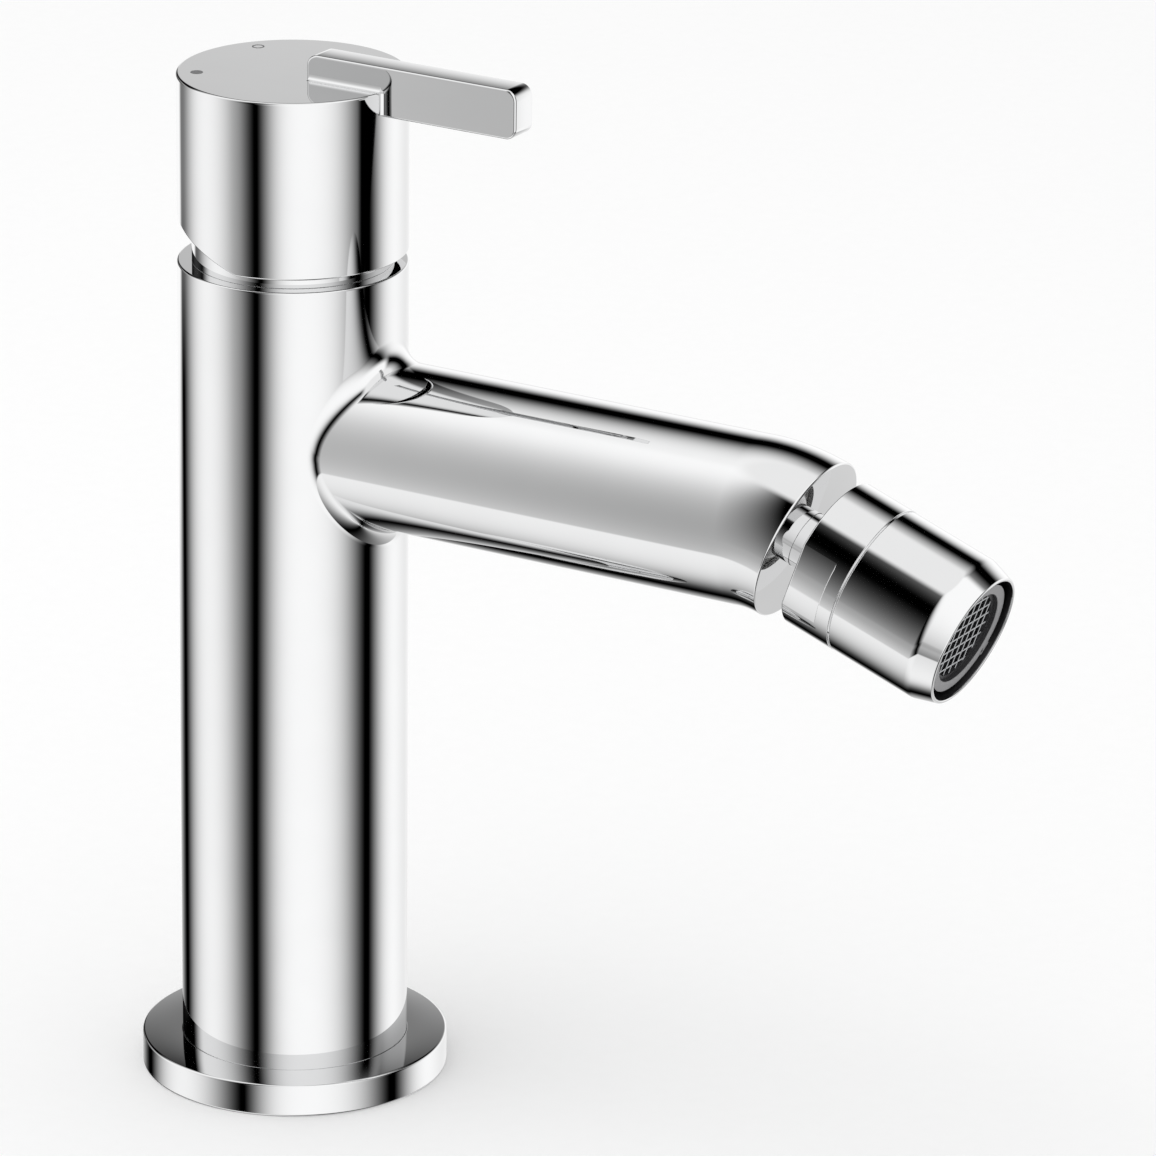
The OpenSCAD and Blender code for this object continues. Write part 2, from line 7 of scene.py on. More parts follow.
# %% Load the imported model
import math
import bpy
import numpy as np
from mathutils.geometry import delaunay_2d_cdt
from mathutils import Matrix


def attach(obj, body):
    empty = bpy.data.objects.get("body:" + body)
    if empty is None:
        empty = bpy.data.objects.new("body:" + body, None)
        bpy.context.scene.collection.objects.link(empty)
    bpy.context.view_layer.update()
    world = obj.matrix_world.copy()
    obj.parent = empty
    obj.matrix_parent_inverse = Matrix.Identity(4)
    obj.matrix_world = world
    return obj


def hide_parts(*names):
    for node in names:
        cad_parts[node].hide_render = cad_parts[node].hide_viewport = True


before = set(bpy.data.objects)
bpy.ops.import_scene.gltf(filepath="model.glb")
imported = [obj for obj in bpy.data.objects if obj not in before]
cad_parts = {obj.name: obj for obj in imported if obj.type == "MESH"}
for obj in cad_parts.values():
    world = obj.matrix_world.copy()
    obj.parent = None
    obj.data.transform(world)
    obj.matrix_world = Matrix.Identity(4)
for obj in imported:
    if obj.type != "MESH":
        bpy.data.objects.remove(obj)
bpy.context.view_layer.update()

# %% [markdown]
# ## Sizes
# All sizes are millimetres, as on a workshop drawing, and become metres only when a mesh is made.
# They repeat the sizes of the solids, so each shell lies where its solid lies. Sizes that only one piece
# needs stand with that piece.

# %% Sizes of the column, the spout and the cap
MM = 0.001
COLUMN_R, COLUMN_TOP, LEDGE = 20.0, 149.5, 2.0
FOOT_R, BRIDGE_Z = 16.5, 84.0
SPOUT_R, SPOUT_Z, BLEND_R = 14.7, 119.4, 4.0
BEND_X, BEND_R, BEND = 92.8, 28.0, math.radians(20)
CAP_LOW, CAP_TOP, CAP_BORE = 151.7, 183.0, 18.6
print("spout axis", SPOUT_Z, "mm up, cap", CAP_LOW, "to", CAP_TOP)

# %% Frame of the nozzle's axis
END = np.array((BEND_X + BEND_R * math.sin(BEND), 0, SPOUT_Z - BEND_R * (1 - math.cos(BEND))))
NOZZLE_AXES = np.array((
    (-math.sin(BEND), 0, -math.cos(BEND)),
    (0, 1, 0),
    (math.cos(BEND), 0, -math.sin(BEND))))
UPRIGHT = np.eye(3)
ORIGIN = np.zeros(3)
print("spout end at", END.round(2))

# %% [markdown]
# ## A shell that knows its normals
# Chrome shows every small error of a surface, because it mirrors the room along the normal. A mesh
# could be smoothed by averaging its faces, but that bends the reflections near each edge. Here each
# face corner carries the true normal of the surface it came from, and the mesh keeps these as custom
# normals. Points that coincide are welded: they fall in one small cell, and a shift keeps round sizes off
# the borders of the cells.

# %% Helper: weld face corners into vertices
WELD, CELL_SHIFT = 0.0002, 0.137

def unit(vectors):
    return vectors / np.linalg.norm(vectors, axis=-1, keepdims=True)

def fan(middle, loop):
    return np.stack((np.broadcast_to(middle, loop.shape), loop))

def welded(corners, finishes):
    spots = corners[..., :3].reshape(-1, 3)
    cells = np.round(spots / WELD + CELL_SHIFT).astype(np.int64)
    _, first, ids = np.unique(cells, axis=0, return_index=True, return_inverse=True)
    across = np.cross(corners[:, 2, :3] - corners[:, 0, :3], corners[:, 3, :3] - corners[:, 1, :3])
    flip = (across * corners[..., 3:].sum(axis=1)).sum(axis=1) < 0
    faces, normals, kept = [], [], []
    for face, corner, turned_round, finish in zip(ids.reshape(-1, 4).tolist(), corners, flip, finishes):
        keep = [k for k in range(4) if face[k] != face[k - 1]]
        if len(set(face)) < 3:
            continue
        if turned_round:
            keep.reverse()
        faces.append([face[k] for k in keep])
        kept.append(finish)
        normals.extend(corner[k, 3:].tolist() for k in keep)
    return spots[first] * MM, faces, normals, kept

# %% Helper: shells with exact normals
class Shell:
    def __init__(self, name):
        self.name = name
        self.patches = []
        self.finish = 0
        self.finishes = []

    def add(self, quads):
        self.patches.append(quads)
        self.finishes.append(np.full(len(quads), self.finish))

    def grid(self, points, normals):
        rows = np.concatenate((points, np.broadcast_to(normals, points.shape)), axis=2)
        quads = np.stack((rows[:-1, :-1], rows[1:, :-1], rows[1:, 1:], rows[:-1, 1:]), axis=2)
        self.add(quads.reshape(-1, 4, 6))

    def triangles(self, points, normals, faces):
        corners = np.concatenate((points, np.broadcast_to(normals, points.shape)), axis=1)[faces]
        self.add(np.concatenate((corners, corners[:, -1:]), axis=1))

    def build(self, body, slot, materials, *nodes):
        finishes = np.concatenate(self.finishes)
        spots, faces, normals, finishes = welded(np.concatenate(self.patches), finishes)
        mesh = bpy.data.meshes.new(self.name)
        mesh.from_pydata(spots.tolist(), [], faces, shade_flat=False)
        for material in materials:
            mesh.materials.append(material)
        mesh.polygons.foreach_set("material_index", finishes)
        mesh.normals_split_custom_set(normals)
        piece = bpy.data.objects.new(self.name, mesh)
        bpy.context.collection.objects.link(piece)
        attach(piece, body)
        if nodes:
            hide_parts(*nodes)
        print(self.name, len(faces), "faces, replaces", nodes)

# %% [markdown]
# ## Turning
# Most pieces of a mixer come off a lathe. A turned piece is one outline swept round an axis. The
# outline runs with the metal on its left; each corner has its own radius, because a polished edge is
# never quite sharp, and that small round is what catches the bright line along the edge.

# %% Helper: round one corner of an outline
ARC_STEPS, ARC_PITCH = 6, 0.25

def right_of(direction):
    return np.array((direction[1], -direction[0]))

def rounded_corner(before, here, after, radius):
    way_in = unit(np.subtract(here[:2], before[:2]))
    way_out = unit(np.subtract(after[:2], here[:2]))
    turn = math.atan2(way_in[0] * way_out[1] - way_in[1] * way_out[0], way_in @ way_out)
    side = math.copysign(1, turn)
    start = np.array(here[:2]) - radius * math.tan(abs(turn) / 2) * way_in
    first = right_of(way_in)
    centre = start - side * radius * first
    steps = max(ARC_STEPS, int(abs(turn) * radius / ARC_PITCH))
    arc = []
    for k in range(steps + 1):
        angle = turn * k / steps
        normal = np.array((
            first[0] * math.cos(angle) - first[1] * math.sin(angle),
            first[0] * math.sin(angle) + first[1] * math.cos(angle)))
        arc.append(np.concatenate((centre + side * radius * normal, normal)))
    return np.array(arc)

# %% Helper: strips of a whole outline
def outline_strips(corners, closed=True):
    count = len(corners)
    arcs = []
    for i, corner in enumerate(corners):
        inner = closed or 0 < i < count - 1
        if corner[2] > 0 and inner:
            arcs.append(rounded_corner(corners[i - 1], corner, corners[(i + 1) % count], corner[2]))
        else:
            arcs.append(np.array([[corner[0], corner[1], 0, 0]]))
    strips = [arc for arc in arcs if len(arc) > 1]
    for i in range(count if closed else count - 1):
        start = arcs[i][-1, :2]
        end = arcs[(i + 1) % count][0, :2]
        if np.linalg.norm(end - start) > WELD:
            normal = right_of(unit(end - start))
            strips.append(np.array([[*start, *normal], [*end, *normal]]))
    return strips

# %% Helper: turn strips round an axis
ROUND_STEPS = 192

def circle(steps=ROUND_STEPS):
    angles = np.linspace(0, 2 * math.pi, steps + 1)
    angles[-1] = 0
    return angles

def turned(shell, strips, origin=ORIGIN, axes=UPRIGHT, angles=None):
    angles = circle() if angles is None else angles
    spokes = np.cos(angles)[:, None] * axes[0] + np.sin(angles)[:, None] * axes[1]
    for strip in strips:
        r, s, out, along = (strip[:, k, None, None] for k in range(4))
        shell.grid(origin + r * spokes + s * axes[2], out * spokes + along * axes[2])

# %% [markdown]
# ## Cut sheets
# A wall with a hole in it, or a plate with ports, is easiest to draw flat: the outside line and the
# holes are closed loops, and a Delaunay filling joins them with well-shaped triangles. A round wall is
# drawn unrolled and wrapped on afterwards.

# %% Helper: fill between closed loops
FILL_MERGE = 1e-6

def inside(loop, spots):
    a, b = loop, np.roll(loop, -1, axis=0)
    x, y = spots[:, 0, None], spots[:, 1, None]
    crosses = (a[:, 1] > y) != (b[:, 1] > y)
    rise = np.where(b[:, 1] == a[:, 1], 1, b[:, 1] - a[:, 1])
    where = a[:, 0] + (y - a[:, 1]) * (b[:, 0] - a[:, 0]) / rise
    return (crosses & (x < where)).sum(axis=1) % 2 == 1

def fill_between(loops, spots):
    coords = np.concatenate(loops + [spots])
    edges, start = [], 0
    for loop in loops:
        count = len(loop)
        edges += [(start + k, start + (k + 1) % count) for k in range(count)]
        start += count
    _, _, filled, sources, _, _ = delaunay_2d_cdt(coords.tolist(), edges, [], 0, FILL_MERGE)
    faces = np.array([[sources[k][0] for k in face] for face in filled])
    middles = coords[faces].mean(axis=1)
    depth = sum(inside(loop, middles).astype(int) for loop in loops)
    return coords, faces[depth % 2 == 1]

# %% Helper: a round wall with a hole
WALL_ROWS, HOLE_CLEAR = 25, 0.8

def wall_with_hole(shell, radius, low, high, seam, hole):
    angles = seam + np.linspace(0, 2 * math.pi, ROUND_STEPS + 1)
    bottom = np.stack((angles * radius, low(angles)), axis=1)
    top = np.stack((angles * radius, np.full(len(angles), high)), axis=1)
    flat_hole = hole * (radius, 1)
    share = np.linspace(0, 1, WALL_ROWS)[1:-1, None, None]
    rows = bottom + share * (top - bottom)
    edge = np.concatenate((bottom, rows[:, -1], top[::-1], rows[::-1, 0]))
    spots = rows[:, 1:-1].reshape(-1, 2)
    near = np.linalg.norm(spots[:, None] - flat_hole[None], axis=2).min(axis=1) < HOLE_CLEAR
    spots = spots[~near & ~inside(flat_hole, spots)]
    coords, faces = fill_between([edge, flat_hole], spots)
    turn = coords[:, 0] / radius
    out = np.stack((np.cos(turn), np.sin(turn), np.zeros(len(turn))), axis=1)
    points = radius * out
    points[:, 2] = coords[:, 1]
    shell.triangles(points, out, faces)

# %% [markdown]
# ## Finishes
# Chrome is a mirror: a metal with hardly any roughness. What keeps it from looking computed is a faint
# haze left by wiping, a slow change of roughness a few centimetres across. That haze is a node group,
# so every metal can share it. The group gives only a colour and a value; each material has its own
# shader, so the finish survives export.

# %% Helper: groups, noise and ramps
NOISE_LOW, NOISE_HIGH = 0.3, 0.7

def new_group(name, inputs, outputs):
    group = bpy.data.node_groups.new(name, "ShaderNodeTree")
    for label, kind, value in inputs:
        socket = group.interface.new_socket(label, in_out="INPUT", socket_type=kind)
        socket.default_value = value
    for label, kind in outputs:
        group.interface.new_socket(label, in_out="OUTPUT", socket_type=kind)
    return group, group.nodes.new("NodeGroupInput"), group.nodes.new("NodeGroupOutput")

def noise(tree, coords, scale, detail=3.0):
    node = tree.nodes.new("ShaderNodeTexNoise")
    node.inputs["Scale"].default_value = scale
    node.inputs["Detail"].default_value = detail
    tree.links.new(coords, node.inputs["Vector"])
    return node.outputs["Fac"]

def ramp(tree, value, low, high):
    node = tree.nodes.new("ShaderNodeMapRange")
    node.inputs["From Min"].default_value = NOISE_LOW
    node.inputs["From Max"].default_value = NOISE_HIGH
    node.inputs["To Min"].default_value = low
    node.inputs["To Max"].default_value = high
    tree.links.new(value, node.inputs["Value"])
    return node

# %% Node group: wiped polish
WIPE_SCALE, FILM_SCALE, FILM_DIM = 35.0, 120.0, 0.985
polish, polish_in, polish_out = new_group("wiped polish", (
    ("Tint", "NodeSocketColor", (0.9, 0.9, 0.9, 1)),
    ("Clear", "NodeSocketFloat", 0.02),
    ("Haze", "NodeSocketFloat", 0.04)), (("Color", "NodeSocketColor"), ("Roughness", "NodeSocketFloat")))
polish_place = polish.nodes.new("ShaderNodeTexCoord").outputs["Object"]
wipe = ramp(polish, noise(polish, polish_place, WIPE_SCALE), 0.0, 1.0)
polish.links.new(polish_in.outputs["Clear"], wipe.inputs["To Min"])
polish.links.new(polish_in.outputs["Haze"], wipe.inputs["To Max"])
polish.links.new(wipe.outputs["Result"], polish_out.inputs["Roughness"])
film = ramp(polish, noise(polish, polish_place, FILM_SCALE), FILM_DIM, 1.0)
dim = polish.nodes.new("ShaderNodeVectorMath")
dim.operation = "SCALE"
polish.links.new(polish_in.outputs["Tint"], dim.inputs[0])
polish.links.new(film.outputs["Result"], dim.inputs["Scale"])
polish.links.new(dim.outputs["Vector"], polish_out.inputs["Color"])
print("group", polish.name)

# %% [markdown]
# ## Moulded finish
# Plastic, rubber and fired ceramic come out of a mould with a fine grain. A picture could carry it, but a
# noise at the right scale has no seams. It mixes two close colours, varies the roughness and lifts a
# shallow bump, and as a node group it serves every moulded piece.

# %% Node group: moulded grain
GRAIN_SMOOTH, GRAIN_ROUGH, BUMP_STRENGTH, BUMP_DEPTH = 0.38, 0.5, 0.08, 0.0001
grain, grain_in, grain_out = new_group("moulded grain", (
    ("Light", "NodeSocketColor", (0.9, 0.9, 0.9, 1)),
    ("Dark", "NodeSocketColor", (0.8, 0.8, 0.8, 1)),
    ("Size", "NodeSocketFloat", 900.0)), (
    ("Color", "NodeSocketColor"), ("Roughness", "NodeSocketFloat"), ("Normal", "NodeSocketVector")))
grain_place = grain.nodes.new("ShaderNodeTexCoord").outputs["Object"]
fine = grain.nodes.new("ShaderNodeTexNoise")
grain.links.new(grain_place, fine.inputs["Vector"])
grain.links.new(grain_in.outputs["Size"], fine.inputs["Scale"])
blend = grain.nodes.new("ShaderNodeMix")
blend.data_type = "RGBA"
grain.links.new(fine.outputs["Fac"], blend.inputs["Factor"])
grain.links.new(grain_in.outputs["Dark"], blend.inputs["A"])
grain.links.new(grain_in.outputs["Light"], blend.inputs["B"])
grain.links.new(blend.outputs["Result"], grain_out.inputs["Color"])
grain_rough = ramp(grain, fine.outputs["Fac"], GRAIN_SMOOTH, GRAIN_ROUGH)
grain.links.new(grain_rough.outputs["Result"], grain_out.inputs["Roughness"])
bump = grain.nodes.new("ShaderNodeBump")
bump.inputs["Strength"].default_value = BUMP_STRENGTH
bump.inputs["Distance"].default_value = BUMP_DEPTH
grain.links.new(fine.outputs["Fac"], bump.inputs["Height"])
grain.links.new(bump.outputs["Normal"], grain_out.inputs["Normal"])
print("group", grain.name)

# %% Helper: materials from the two groups
def new_material(name, group):
    material = bpy.data.materials.new(name)
    material.use_nodes = True
    tree = material.node_tree
    surface = tree.nodes["Principled BSDF"]
    node = tree.nodes.new("ShaderNodeGroup")
    node.node_tree = group
    for output in node.outputs:
        target = "Base Color" if output.name == "Color" else output.name
        tree.links.new(output, surface.inputs[target])
    return material, surface, node

def metal(name, tint, clear, haze):
    material, surface, node = new_material(name, polish)
    surface.inputs["Metallic"].default_value = 1.0
    node.inputs["Tint"].default_value = (*tint, 1)
    node.inputs["Clear"].default_value = clear
    node.inputs["Haze"].default_value = haze
    return material

def moulded(name, light, dark, size):
    material, _, node = new_material(name, grain)
    node.inputs["Light"].default_value = (*light, 1)
    node.inputs["Dark"].default_value = (*dark, 1)
    node.inputs["Size"].default_value = size
    return material

# %% Finishes of this mixer
chrome = metal("polished chrome", tint=(0.76, 0.762, 0.765), clear=0.012, haze=0.03)
brass = metal("machined brass", tint=(0.80, 0.60, 0.28), clear=0.18, haze=0.28)
steel = metal("bright steel", tint=(0.66, 0.66, 0.67), clear=0.16, haze=0.26)
ceramic = moulded("fired ceramic", light=(0.86, 0.84, 0.78), dark=(0.80, 0.78, 0.72), size=1500.0)
white_plastic = moulded("white acetal", light=(0.84, 0.84, 0.82), dark=(0.78, 0.78, 0.76), size=900.0)
grey_plastic = moulded("grey moulding", light=(0.27, 0.27, 0.275), dark=(0.23, 0.23, 0.235), size=900.0)
wire_plastic = moulded("pale wire", light=(0.46, 0.47, 0.48), dark=(0.40, 0.41, 0.42), size=900.0)
# The flow regulator's own dark colour, also used as painted shade on the aerator's rim and walls.
dark_moulding_and_shade = moulded("dark moulding and painted shade", light=(0.040, 0.040, 0.042), dark=(0.026, 0.026, 0.028), size=900.0)
satin = metal("satin nickel", tint=(0.58, 0.58, 0.58), clear=0.30, haze=0.42)
# Painted shade: a near-black rough metal for the sleeve's bore, standing for the shade inside the nozzle.
shaded = metal("dull bore", tint=(0.07, 0.07, 0.072), clear=0.35, haze=0.50)
rubber = moulded("black rubber", light=(0.030, 0.030, 0.032), dark=(0.018, 0.018, 0.020), size=700.0)
ink = moulded("grey fired ink", light=(0.16, 0.16, 0.165), dark=(0.12, 0.12, 0.125), size=1800.0)
print("materials", len(bpy.data.materials))

# %% [markdown]
# ## Column and spout
# The body is one casting: a column, a spout that leaves it at a right angle, and a blend between the
# two. A modelling program could bevel the seam of two crossed cylinders, but the bevel's normals would
# be guesses. A ball of the blend's radius, rolled along both cylinders, touches each along a known line;
# the ball's own surface between these lines is the blend, so its normals are exact.

# %% The rolling ball between spout and column
BLEND_ROWS = 13
column_reach, spout_reach = COLUMN_R + BLEND_R, SPOUT_R + BLEND_R
around = circle()
ball_y = spout_reach * np.cos(around)
ball_x = np.sqrt(column_reach ** 2 - ball_y ** 2)
ball_z = SPOUT_Z + spout_reach * np.sin(around)
ball = np.stack((ball_x, ball_y, ball_z), axis=1)
to_column = -np.stack((ball_x, ball_y, 0 * ball_x), axis=1) / column_reach
to_spout = -np.stack((0 * around, np.cos(around), np.sin(around)), axis=1)
blend_angle = np.arccos((to_column * to_spout).sum(axis=1))[:, None]
share = np.linspace(0, 1, BLEND_ROWS)[:, None, None]
reach = np.sin((1 - share) * blend_angle) * to_column + np.sin(share * blend_angle) * to_spout
reach = reach / np.sin(blend_angle)

body = Shell("body_shell")
body.grid(ball + BLEND_R * reach, -reach)
spout_hole = np.stack((np.arcsin(ball_y / column_reach), ball_z), axis=1)[:-1]
print("blend stations", len(spout_hole))

# %% Column wall, top and foot
COLUMN_EDGE, NUT_EDGE = 0.35, 0.2
NUT_R, NUT_SEAT = 16.0, COLUMN_TOP - 6.5
CHAMBER_R, CHAMBER_FLOOR = 14.1, COLUMN_TOP - 23.5

def level_foot(angles):
    return np.full(len(angles), LEDGE)

wall_with_hole(body, COLUMN_R, level_foot, COLUMN_TOP - COLUMN_EDGE, -math.pi, spout_hole)
wall_angles = -math.pi + np.linspace(0, 2 * math.pi, ROUND_STEPS + 1)
column_top = outline_strips((
    (COLUMN_R, COLUMN_TOP - COLUMN_EDGE, 0), (COLUMN_R, COLUMN_TOP, COLUMN_EDGE),
    (NUT_R, COLUMN_TOP, NUT_EDGE), (NUT_R, NUT_SEAT, 0), (CHAMBER_R, NUT_SEAT, 0),
    (CHAMBER_R, CHAMBER_FLOOR, 0), (0, CHAMBER_FLOOR, 0)), closed=False)
column_foot = outline_strips((
    (FOOT_R, BRIDGE_Z, 0), (FOOT_R, LEDGE, 0), (COLUMN_R, LEDGE, 0)), closed=False)
turned(body, column_top + column_foot, angles=wall_angles)
print("column from", LEDGE, "to", COLUMN_TOP, "mm up")

# %% Bridge inside the foot, with two hose ports and the fixing hole
PORT_X, PORT_Y, PORT_R, PORT_DEPTH = 3.0, 7.5, 4.5, 12.0
FIXING_X, FIXING_R, FIXING_DEPTH = -8.5, 3.4, 14.0
HOLE_STEPS = 48

def ring_loop(x, y, radius):
    angles = circle(HOLE_STEPS)[:-1]
    return np.stack((x + radius * np.cos(angles), y + radius * np.sin(angles)), axis=1)

bridge_holes = (
    (PORT_X, PORT_Y, PORT_R, PORT_DEPTH),
    (PORT_X, -PORT_Y, PORT_R, PORT_DEPTH),
    (FIXING_X, 0, FIXING_R, FIXING_DEPTH))
bridge_edge = np.stack((FOOT_R * np.cos(wall_angles), FOOT_R * np.sin(wall_angles)), axis=1)[:-1]
loops = [bridge_edge] + [ring_loop(x, y, radius) for x, y, radius, _ in bridge_holes]
coords, faces = fill_between(loops, np.zeros((0, 2)))
underside = np.column_stack((coords, np.full(len(coords), BRIDGE_Z)))
body.triangles(underside, np.array((0, 0, -1.0)), faces)
for x, y, radius, depth in bridge_holes:
    roof = BRIDGE_Z + depth
    port = outline_strips(((0, roof, 0), (radius, roof, 0), (radius, BRIDGE_Z, 0)), closed=False)
    turned(body, port, np.array((x, y, 0)), angles=circle(HOLE_STEPS))
print("bridge at", BRIDGE_Z, "mm with", len(bridge_holes), "holes")

# %% Straight spout and the helper for its bend
SPOUT_ROWS = 25
ring = np.stack((0 * around, np.cos(around), np.sin(around)), axis=1)
share = np.linspace(0, 1, SPOUT_ROWS)[:, None]
straight = SPOUT_R * ring + np.array((0, 0, SPOUT_Z)) + np.zeros((SPOUT_ROWS, 1, 1))
straight[:, :, 0] = ball_x + share * (BEND_X - ball_x)
body.grid(straight, ring)
print("spout straight to", BEND_X, "mm")

def bend_ring(angle, radius, lean):
    up = np.array((math.sin(angle), 0, math.cos(angle)))
    ahead = np.array((math.cos(angle), 0, -math.sin(angle)))
    spokes = np.cos(around)[:, None] * (0, 1, 0) + np.sin(around)[:, None] * up
    middle = np.array((BEND_X, 0, SPOUT_Z - BEND_R)) + BEND_R * up
    return middle + radius * spokes, math.cos(lean) * spokes + math.sin(lean) * ahead

# %% Bend and end face
BEND_ROWS, EDGE_ROWS, END_EDGE = 13, 7, 0.3
STUD_BORE_R, STUD_BORE_DEPTH, BORE_EDGE = 5.05, 8.0, 0.1
edge_angle = END_EDGE / BEND_R
bend_rows = [bend_ring(angle, SPOUT_R, 0) for angle in np.linspace(0, BEND - edge_angle, BEND_ROWS)]
for lean in np.linspace(0, math.pi / 2, EDGE_ROWS)[1:]:
    edge_place = BEND - edge_angle * (1 - math.sin(lean))
    bend_rows.append(bend_ring(edge_place, SPOUT_R - END_EDGE * (1 - math.cos(lean)), lean))
body.grid(np.array([row[0] for row in bend_rows]), np.array([row[1] for row in bend_rows]))
end_face = outline_strips((
    (SPOUT_R - END_EDGE, 0, 0), (STUD_BORE_R, 0, BORE_EDGE), (STUD_BORE_R, -STUD_BORE_DEPTH, 0),
    (0, -STUD_BORE_DEPTH, 0)), closed=False)
turned(body, end_face, END, NOZZLE_AXES, angles=-around + 1.5 * math.pi)
body.build("mixer", "chrome", (chrome,), "body")

# %% [markdown]
# ## Flange and neck
# Both are plain turned rings. The flange sits on the deck round the column, with a groove for its gasket
# underneath. Polishing leaves its top very slightly domed. That dome is too low to see as a shape, but it
# spreads what the top mirrors, so only the normals there lean outwards. The neck fills the gap between the
# column and the handle.

# %% Turn the flange
FLANGE_R, FLANGE_TOP, FLANGE_BORE, DOME = 27.1, 5.9, 20.05, math.radians(2.4)
GROOVE_IN, GROOVE_OUT, GROOVE_TOP = 22.05, 25.05, 2.0
FLANGE_LOW_EDGE, FLANGE_TOP_EDGE = 0.4, 0.45
flange = Shell("flange_shell")
flange_strips = outline_strips((
    (FOOT_R, 0, 0), (GROOVE_IN, 0, 0), (GROOVE_IN, GROOVE_TOP, 0), (GROOVE_OUT, GROOVE_TOP, 0),
    (GROOVE_OUT, 0, 0), (FLANGE_R, 0, FLANGE_LOW_EDGE), (FLANGE_R, FLANGE_TOP, FLANGE_TOP_EDGE),
    (FLANGE_BORE, FLANGE_TOP, BORE_EDGE), (FLANGE_BORE, LEDGE, 0), (FOOT_R, LEDGE, 0)))
for strip in flange_strips:
    if (strip[:, 1] == FLANGE_TOP).all():
        strip[:, 2] = DOME * (strip[:, 0] - FLANGE_BORE) / (FLANGE_R - FLANGE_BORE)
turned(flange, flange_strips)
flange.build("mixer", "chrome", (chrome,), "base_flange")

# %% Turn the neck
NECK_R, NECK_INNER_R, NECK_BORE_R = 17.5, 16.0, 10.9
NECK_SHOULDER, NECK_TOP, NECK_ROOF = 154.2, 155.0, 151.9
NECK_LIP_LOW, NECK_LIP_R = 153.8, 15.0
NECK_FOOT_EDGE, NECK_SHOULDER_EDGE, NECK_BORE_EDGE = 0.1, 0.3, 0.2
neck = Shell("neck_shell")
turned(neck, outline_strips((
    (NECK_INNER_R, COLUMN_TOP, 0), (NECK_R, COLUMN_TOP, NECK_FOOT_EDGE),
    (NECK_R, NECK_SHOULDER, NECK_SHOULDER_EDGE), (NECK_BORE_R, NECK_TOP, NECK_BORE_EDGE),
    (NECK_BORE_R, NECK_LIP_LOW, 0), (NECK_LIP_R, NECK_ROOF, 0), (NECK_INNER_R, NECK_ROOF, 0))))
neck.build("mixer", "chrome", (chrome,), "trim_ring")

# %% [markdown]
# ## Cap
# The handle is a turned cap with a flat blade let into its top. The cap's skirt is cut at a slope under
# the rear, which gives it room to tip back. A boolean cut would leave a sharp rim. So the rim is swept
# instead: at each angle its small round starts from the sloped line.

# %% Skirt with its sloped cut and the plug's hole
SKIRT_X, SKIRT_SLOPE = 1.2, math.tan(math.radians(20))
RIM_EDGE, TOP_EDGE = 0.3, 0.45
PLUG_Z, PLUG_HOLE_R = 166.0, 2.8

def skirt_low(x):
    return CAP_LOW + np.maximum(0, SKIRT_X - x) * SKIRT_SLOPE

def skirt_edge(angles):
    return skirt_low(COLUMN_R * np.cos(angles)) + RIM_EDGE

handle = Shell("handle_shell")
plug_turn = circle(HOLE_STEPS)[:-1]
hole_y, hole_z = PLUG_HOLE_R * np.cos(plug_turn), PLUG_HOLE_R * np.sin(plug_turn)
plug_hole = np.stack((math.pi - np.arcsin(hole_y / COLUMN_R), PLUG_Z + hole_z), axis=1)
wall_with_hole(handle, COLUMN_R, skirt_edge, CAP_TOP - TOP_EDGE, 0, plug_hole)
print("skirt slopes up behind", SKIRT_X, "mm")

# %% Rim of the skirt
cap_angles = np.linspace(0, 2 * math.pi, ROUND_STEPS + 1)
spokes = np.stack((np.cos(cap_angles), np.sin(cap_angles), 0 * cap_angles), axis=1)

def at_radius(radius):
    x, y = radius * np.cos(cap_angles), radius * np.sin(cap_angles)
    return np.stack((x, y, skirt_low(x)), axis=1)

tipped = COLUMN_R * np.cos(cap_angles) < SKIRT_X
rim_normal = np.where(tipped[:, None], unit(np.array((-SKIRT_SLOPE, 0, -1))), (0, 0, -1))
corner = at_radius(COLUMN_R)
inward = at_radius(COLUMN_R - RIM_EDGE) - corner
lift = np.array((0, 0, RIM_EDGE))
lean = np.linspace(0, math.pi / 2, EDGE_ROWS)[:, None, None]
rim_arc = corner + inward + lift - np.cos(lean) * inward - np.sin(lean) * lift
handle.grid(rim_arc, unit(np.cos(lean) * spokes + np.sin(lean) * rim_normal))
handle.grid(np.stack((corner + inward, at_radius(CAP_BORE))), rim_normal)
print("rim from", CAP_LOW, "to", round(corner[:, 2].max(), 2), "mm up")

# %% Bore, top and the boss for the stem
CAP_CEILING, BOSS_R, BOSS_LOW, BOSS_EDGE = 178.0, 7.5, 160.5, 0.3
SOCKET_R, SOCKET_TOP = 3.6, 174.0
bore_low = at_radius(CAP_BORE)
bore_high = bore_low * (1, 1, 0) + (0, 0, CAP_CEILING)
handle.grid(np.stack((bore_low, bore_high)), -spokes)
cap_strips = outline_strips((
    (COLUMN_R, CAP_TOP - TOP_EDGE, 0), (COLUMN_R, CAP_TOP, TOP_EDGE), (0, CAP_TOP, 0)), closed=False)
cap_strips += outline_strips((
    (SOCKET_R, BOSS_LOW, 0), (BOSS_R, BOSS_LOW, BOSS_EDGE), (BOSS_R, CAP_CEILING, 0),
    (CAP_BORE, CAP_CEILING, 0)), closed=False)
cap_strips += outline_strips((
    (0, SOCKET_TOP, 0), (SOCKET_R, SOCKET_TOP, 0), (SOCKET_R, BOSS_LOW, 0)), closed=False)
turned(handle, cap_strips, angles=cap_angles)
print("cap top at", CAP_TOP, "mm, boss down to", BOSS_LOW)

